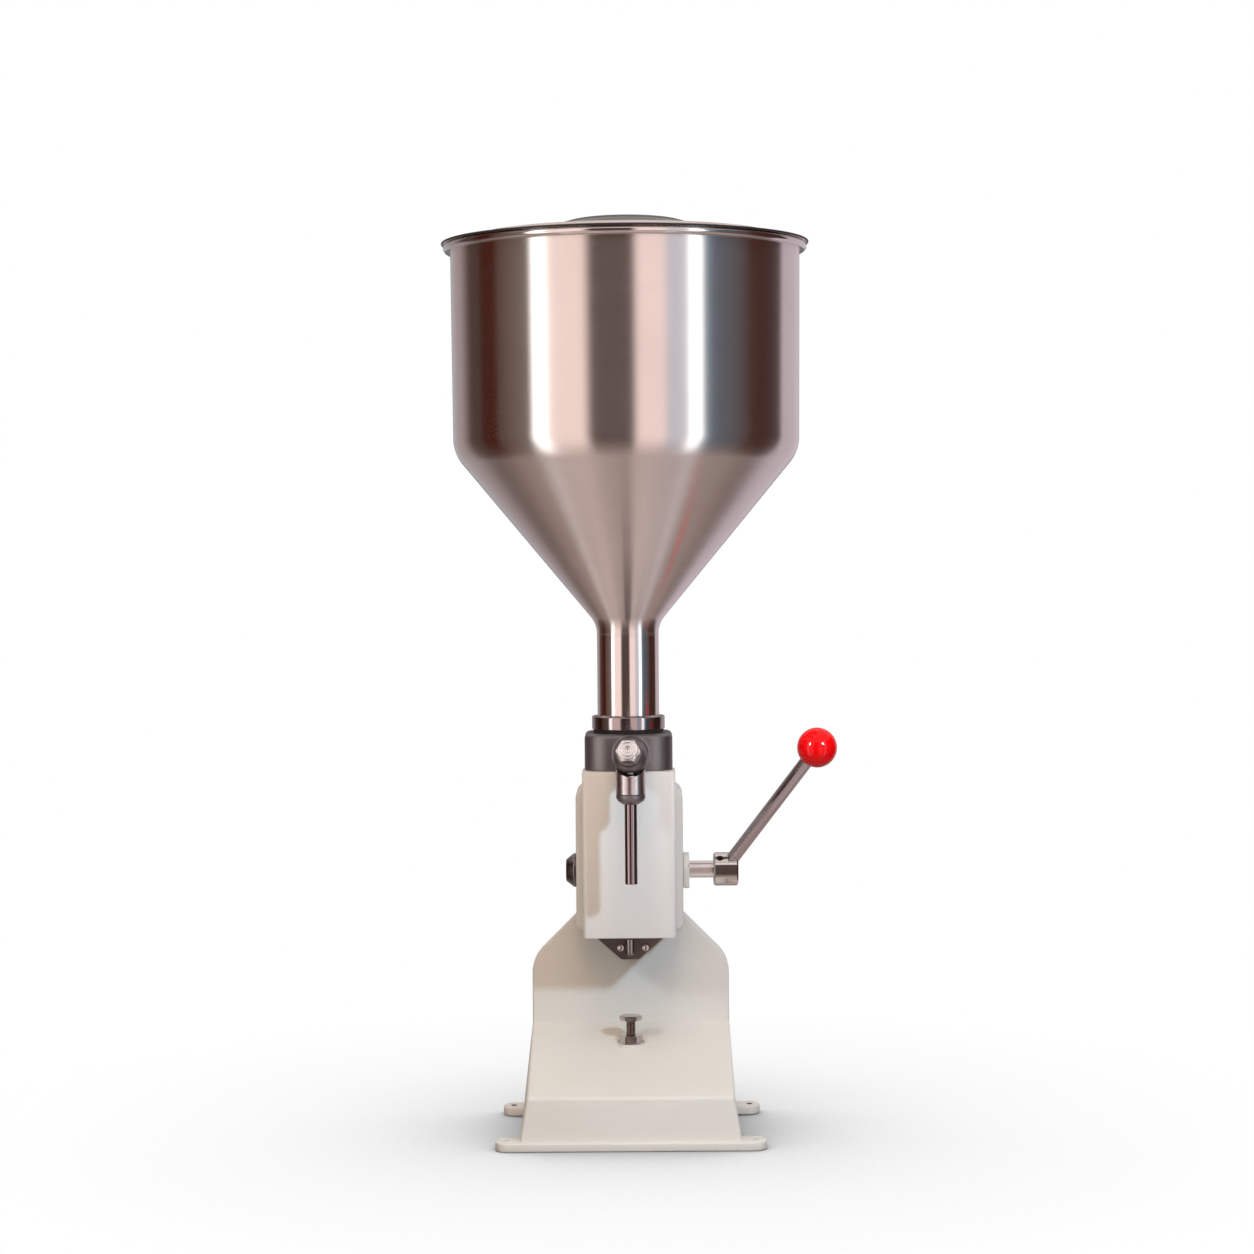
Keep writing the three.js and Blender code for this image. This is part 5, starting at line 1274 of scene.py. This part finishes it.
@dataclass
class DoseStop:
    """The adjusting bolt and its lock nut on the deck."""

    finishes: Finishes
    pitch: float = 1.25
    core_radius: float = 3.35
    crest_radius: float = 4.0
    head_height: float = 4.0
    nut_bore: float = 4.2
    chamfer_slope: float = 0.5
    steps_per_turn: int = 28

    def hexagon(self, flats: float, low: float, high: float) -> bmesh.types.BMesh:
        """Make a hexagon with a corner to each side, from its width across flats and its two heights."""
        return shifted(six_sided(flats, high - low, 30), z=(low + high) / 2)

    def chamfered(self, obj: bpy.types.Object, flats: float, low: float, high: float) -> None:
        """Turn the corners off a hexagon's two faces."""
        corner = flats / math.sqrt(3) + 2
        face = flats / 2 - 0.2
        tools = []
        for level, out in ((high, 1), (low, -1)):
            drop = level - out * (corner - face) * self.chamfer_slope
            tools.append(cutter(turned([
                Corner(face, level), Corner(face + 0.2, level), Corner(corner, drop),
                Corner(corner, level + out * THROUGH), Corner(face, level + out * THROUGH),
            ], Steps.ROUND)))
        combine(obj, tools, "DIFFERENCE")

    def thread(self, foot: float, head: float) -> bmesh.types.BMesh:
        """Make the ridge that winds round the bolt's core from its foot up to its head."""
        bm = bmesh.new()
        root = self.core_radius - 0.1
        ridge = ((root, 0.6), (self.crest_radius, 1.15), (self.crest_radius, 1.35), (root, 1.9))
        bm.faces.new([bm.verts.new((radius * MM, 0, (foot + up) * MM)) for radius, up in ridge])
        turns = int((head - foot - 2 * self.pitch) / self.pitch)
        rise = self.pitch * MM / self.steps_per_turn
        bmesh.ops.spin(
            bm, geom=bm.faces[:], cent=(0, 0, 0), axis=(0, 0, 1), dvec=(0, 0, rise),
            angle=FULL_TURN * turns, steps=self.steps_per_turn * turns,
            use_merge=False, use_normal_flip=False, use_duplicate=False)
        bmesh.ops.recalc_face_normals(bm, faces=bm.faces[:])
        return bm

    def make(self) -> None:
        """Make the bolt with a cut thread, and the nut."""
        low, high = box_of("adjusting_bolt")
        foot, top = low.z / MM, high.z / MM
        head = top - self.head_height
        flats = (high.y - low.y) / MM
        obj = as_object("dose_bolt", self.hexagon(flats, head, top))
        self.chamfered(obj, flats, head, top)
        whole = bmesh.new()
        whole.from_mesh(obj.data)
        shank = joined(rod(self.core_radius, foot, head + 1, 0.4), self.thread(foot, head))
        joined(whole, shifted(shank, *BARREL_AXIS / MM))
        whole.to_mesh(obj.data)
        whole.free()
        put(soft_shaded(obj, 28), self.finishes.turned, "adjusting_bolt", "adjusting_bolt")
        zoned(obj, self.finishes.thread, lambda place: place.z < (head - GAP) * MM)
        low, high = box_of("lock_nut")
        foot, top = low.z / MM, high.z / MM
        flats = (high.y - low.y) / MM
        obj = as_object("dose_lock_nut", self.hexagon(flats, foot, top))
        self.chamfered(obj, flats, foot, top)
        combine(obj, [cutter(rod(self.nut_bore, foot - THROUGH, top + THROUGH))], "DIFFERENCE")
        put(soft_shaded(obj, 28), self.finishes.turned, "lock_nut", "lock_nut")


@dataclass
class Studio:
    """The floor, the lights, the room that the metal mirrors, and the camera."""

    eye_height: float = 0.481
    eye_distance: float = 2.31
    eye_swing: float = 0.3
    roll: float = 0.45
    lens: float = 80.4
    sensor: float = 36.0
    drop: float = -0.0684
    floor_radius: float = 1.25
    shadow_reach: float = 0.5
    darkest: float = 0.25
    plain_light: Colour = (1.0, 0.8, 0.66)
    plain_level: float = 0.33
    aim_height: float = 0.15

    def camera(self) -> None:
        """Set up the camera at the photograph's viewing angle."""
        data = bpy.data.cameras.new("camera")
        data.lens = self.lens
        data.sensor_width = self.sensor
        data.shift_y = self.drop
        data.clip_end = 50
        obj = bpy.data.objects.new("camera", data)
        bpy.context.scene.collection.objects.link(obj)
        swing = math.radians(self.eye_swing)
        obj.location = BARREL_AXIS + Vector((
            self.eye_distance * math.sin(swing), -self.eye_distance * math.cos(swing), self.eye_height))
        obj.rotation_euler = (math.pi / 2, math.radians(self.roll), swing)
        bpy.context.scene.camera = obj

    def floor(self) -> None:
        """Lay a round pale floor, white to the camera but for the soft shadow round the machine."""
        bm = bmesh.new()
        bmesh.ops.create_circle(bm, cap_ends=True, segments=128, radius=self.floor_radius)
        obj = as_object("floor", bm)
        graph = Graph("pale_floor")
        graph.fill(graph.shader, {
            "Base Color": (0.72, 0.78, 0.84, 1.0), "Roughness": 0.9, "Specular IOR Level": 0.0})
        nearness = graph.add("ShaderNodeAmbientOcclusion", {"Distance": self.shadow_reach}).outputs["AO"]
        level = graph.ranged(nearness, 0.0, 1.0, self.darkest, 1.0)
        white = graph.add("ShaderNodeEmission", {"Strength": level}).outputs["Emission"]
        rays = graph.add("ShaderNodeLightPath").outputs
        seen = graph.either(rays["Is Camera Ray"], graph.shader.outputs["BSDF"], white)
        clear = graph.add("ShaderNodeBsdfTransparent").outputs["BSDF"]
        graph.fill(graph.output, {"Surface": graph.either(rays["Is Glossy Ray"], seen, clear)})
        obj.data.materials.append(graph.material)

    def reached(self, mirrored: bool) -> bpy.types.Collection:
        """Give what a lamp reaches: a window only the ball, and the others everything but the floor."""
        name, only, state = (
            ("window_reach", "lever_ball", "INCLUDE") if mirrored else ("lamp_reach", "floor", "EXCLUDE"))
        found = bpy.data.collections.get(name)
        if found is None:
            found = bpy.data.collections.new(name)
            found.objects.link(bpy.data.objects[only])
            found.collection_objects[0].light_linking.link_state = state
        return found

    def lamp(self, name: str, bearing: float, rise: float, distance: float, size: tuple[float, float],
             power: float, colour: Colour = (1, 1, 1), mirrored: bool = False) -> None:
        """Hang a rectangular lamp aimed at the machine.

        Args:
            name: The lamp's name.
            bearing: Its direction from the machine, in degrees from the front towards the right.
            rise: Its height above the aim, in degrees.
            distance: How far away it is, in metres.
            size: Its width and height, in metres.
            power: Its power, in watts.
            colour: Its colour.
            mirrored: Whether it is a window in the ball's gloss; otherwise it lights matt surfaces only.
        """
        data = bpy.data.lights.new(name, "AREA")
        data.shape = "RECTANGLE"
        data.size, data.size_y = size
        data.energy = power
        data.color = colour
        obj = bpy.data.objects.new(name, data)
        obj.visible_glossy = mirrored
        obj.visible_diffuse = not mirrored
        obj.light_linking.receiver_collection = self.reached(mirrored)
        bpy.context.scene.collection.objects.link(obj)
        aim = BARREL_AXIS + Vector((0, 0, self.aim_height))
        turn, up = math.radians(bearing), math.radians(rise)
        away = Vector((math.sin(turn) * math.cos(up), -math.cos(turn) * math.cos(up), math.sin(up)))
        obj.location = aim + away * distance
        obj.rotation_euler = away.to_track_quat("Z", "Y").to_euler()

    def lamps(self) -> None:
        """Hang a cool lamp on each side, softboxes in front, above and behind, and the ball's windows."""
        self.lamp("right_lamp", 34.5, 28.6, 2.2, (0.13, 0.13), 27.6, (0.54, 0.78, 1.0))
        self.lamp("left_lamp", -40, 29, 2.2, (0.22, 0.22), 10.8, (0.68, 0.9, 1.0))
        self.lamp("front_softbox", -4, 42, 2.2, (1.3, 1.3), 14.8, (1.0, 0.62, 0.33))
        self.lamp("top_softbox", 3, 65, 2.2, (0.9, 0.9), 13.0, (0.84, 0.98, 1.0))
        self.lamp("back_softbox", 180, 15, 2.2, (1.3, 1.3), 34.0, (0.84, 0.9, 1.0))
        self.lamp("left_window", -43, 25, 2.0, (0.4, 0.5), 50.0, mirrored=True)
        self.lamp("right_window", 36, 27.5, 2.2, (0.5, 0.45), 50.0, mirrored=True)

    ROOM = (
        (-180, (0.2, 0.21, 0.2)), (-172, (0.2, 0.21, 0.2)), (-166, (0.53, 0.5, 0.53)),
        (-138, (0.44, 0.36, 0.36)), (-124, (0.1, 0.06, 0.05)), (-111, (0.1, 0.06, 0.05)),
        (-109, (0.08, 0.016, 0.009)), (-95, (0.08, 0.016, 0.009)), (-92, (0.14, 0.08, 0.062)),
        (-66, (0.25, 0.20, 0.18)), (-61.5, (3.2, 3.2, 3.2)), (-56.5, (3.2, 3.2, 3.2)),
        (-51, (1.41, 1.15, 1.09)), (-28, (1.41, 1.15, 1.09)), (-22, (0.11, 0.075, 0.07)),
        (4, (0.11, 0.075, 0.07)), (9, (1.37, 1.11, 1.08)), (25, (1.37, 1.11, 1.08)),
        (29, (0.84, 0.85, 0.96)), (41, (0.84, 0.85, 0.96)), (45.5, (3.0, 3.1, 3.2)),
        (49.5, (3.0, 3.1, 3.2)), (54, (0.32, 0.42, 0.53)), (61, (0.13, 0.17, 0.22)),
        (82, (0.12, 0.1, 0.11)), (92, (0.08, 0.03, 0.022)), (105, (0.08, 0.03, 0.022)),
        (122, (0.075, 0.05, 0.045)), (127, (0.69, 0.60, 0.66)), (166, (0.69, 0.60, 0.66)),
        (172, (0.2, 0.21, 0.2)), (180, (0.2, 0.21, 0.2)),
    )
    WALL_SHARE = ((-1.0, 0.12), (-0.74, 0.15), (-0.5, 1.0), (0.53, 1.0), (0.64, 0.0), (1.0, 0.0))
    FLOOR_AND_CEILING = (
        (-1.0, (0.65, 0.515, 0.485)), (-0.76, (0.54, 0.43, 0.4)), (-0.5, (0.36, 0.29, 0.26)),
        (0.52, (0.8, 0.7, 0.67)), (0.6, (1.4, 1.3, 1.28)), (0.68, (1.4, 1.3, 1.28)), (0.75, (0.7, 0.6, 0.57)),
        (0.85, (0.95, 0.85, 0.82)), (1.0, (1.2, 1.15, 1.12)),
    )

    def room(self) -> None:
        """Make the world: plain light, a white background, and the room that metal and gloss mirror."""
        world = bpy.data.worlds.new("room")
        bpy.context.scene.world = world
        world.use_nodes = True
        nodes = Nodes(world.node_tree)
        toward = nodes.add("ShaderNodeSeparateXYZ", {
            "Vector": nodes.add("ShaderNodeTexCoord").outputs["Generated"]}).outputs
        ahead = nodes.add("ShaderNodeMath", {0: toward["Y"], 1: -1.0}, operation="MULTIPLY").outputs["Value"]
        bearing = nodes.add(
            "ShaderNodeMath", {0: toward["X"], 1: ahead}, operation="ARCTAN2").outputs["Value"]
        turn = nodes.ranged(bearing, 0.0, 1.0, -math.pi, math.pi)
        height = nodes.ranged(toward["Z"], 0.0, 1.0, -1.0, 1.0)
        walls = self.ramp(nodes, turn, [((angle + 180) / 360, colour) for angle, colour in self.ROOM])
        share = self.ramp(nodes, height, [((z + 1) / 2, (wall,) * 3) for z, wall in self.WALL_SHARE])
        ends = self.ramp(nodes, height, [((z + 1) / 2, colour) for z, colour in self.FLOOR_AND_CEILING])
        mirrored = nodes.add("ShaderNodeBackground", {
            "Color": nodes.mixed(share, ends, walls)}).outputs["Background"]
        plain = nodes.add("ShaderNodeBackground", {
            "Color": (*self.plain_light, 1.0), "Strength": self.plain_level}).outputs["Background"]
        white = nodes.add("ShaderNodeBackground", {"Color": (1.0, 1.0, 1.0, 1.0)}).outputs["Background"]
        rays = nodes.add("ShaderNodeLightPath").outputs
        unseen = nodes.either(rays["Is Glossy Ray"], plain, mirrored)
        nodes.add("ShaderNodeOutputWorld", {"Surface": nodes.either(rays["Is Camera Ray"], unseen, white)})

    def ramp(self, nodes: Nodes, place: bpy.types.NodeSocket,
             stops: list[tuple[float, Colour]]) -> bpy.types.NodeSocket:
        """Add a colour ramp with its stops, and give its colour."""
        node = nodes.add("ShaderNodeValToRGB", {"Fac": place})
        elements = node.color_ramp.elements
        while len(elements) < len(stops):
            elements.new(0.5)
        for element, (position, colour) in zip(elements, stops):
            element.position = position
            element.color = (*colour, 1.0)
        return node.outputs["Color"]

    def make(self) -> None:
        """Set up the camera, the floor and the room."""
        bpy.context.scene.view_settings.view_transform = "Standard"
        self.camera()
        self.floor()
        self.room()


def dress_inside(finishes: Finishes) -> None:
    """Dress the inner pieces, whose shapes stay as the model has them."""
    inner = {
        finishes.polished: [
            "barrel", "piston_head", "piston_screw", "outlet_ball", "outlet_spring", "inlet_stop_pin"],
        finishes.turned: [f"block_screw_{index}" for index in range(1, 5)],
        finishes.dark: ["rack_bar", "pinion", "pinion_key"],
        finishes.bronze: [
            "rack_guide", "left_bush", "right_bush", "left_thrust_washer", "right_thrust_washer"],
        finishes.rubber: ["barrel_gasket", "piston_seal"],
        finishes.plastic: ["inlet_disc"],
    }
    for material, nodes in inner.items():
        for node in nodes:
            dress(node, material)


def main() -> None:
    """Build and dress the machine."""
    logging.basicConfig(level=logging.INFO, format="%(name)s: %(message)s")
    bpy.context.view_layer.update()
    studio = Studio()
    studio.make()
    finishes = Finishes()
    hopper = Hopper(finishes)
    hopper.bowl()
    hopper.neck()
    hopper.lid()
    head = ValveHead(finishes)
    head.block()
    head.plug()
    head.nozzle()
    Casting(finishes).make()
    Cover(finishes).make()
    Drive(finishes).make()
    DoseStop(finishes).make()
    dress_inside(finishes)
    studio.lamps()


if __name__ == "__main__":
    main()
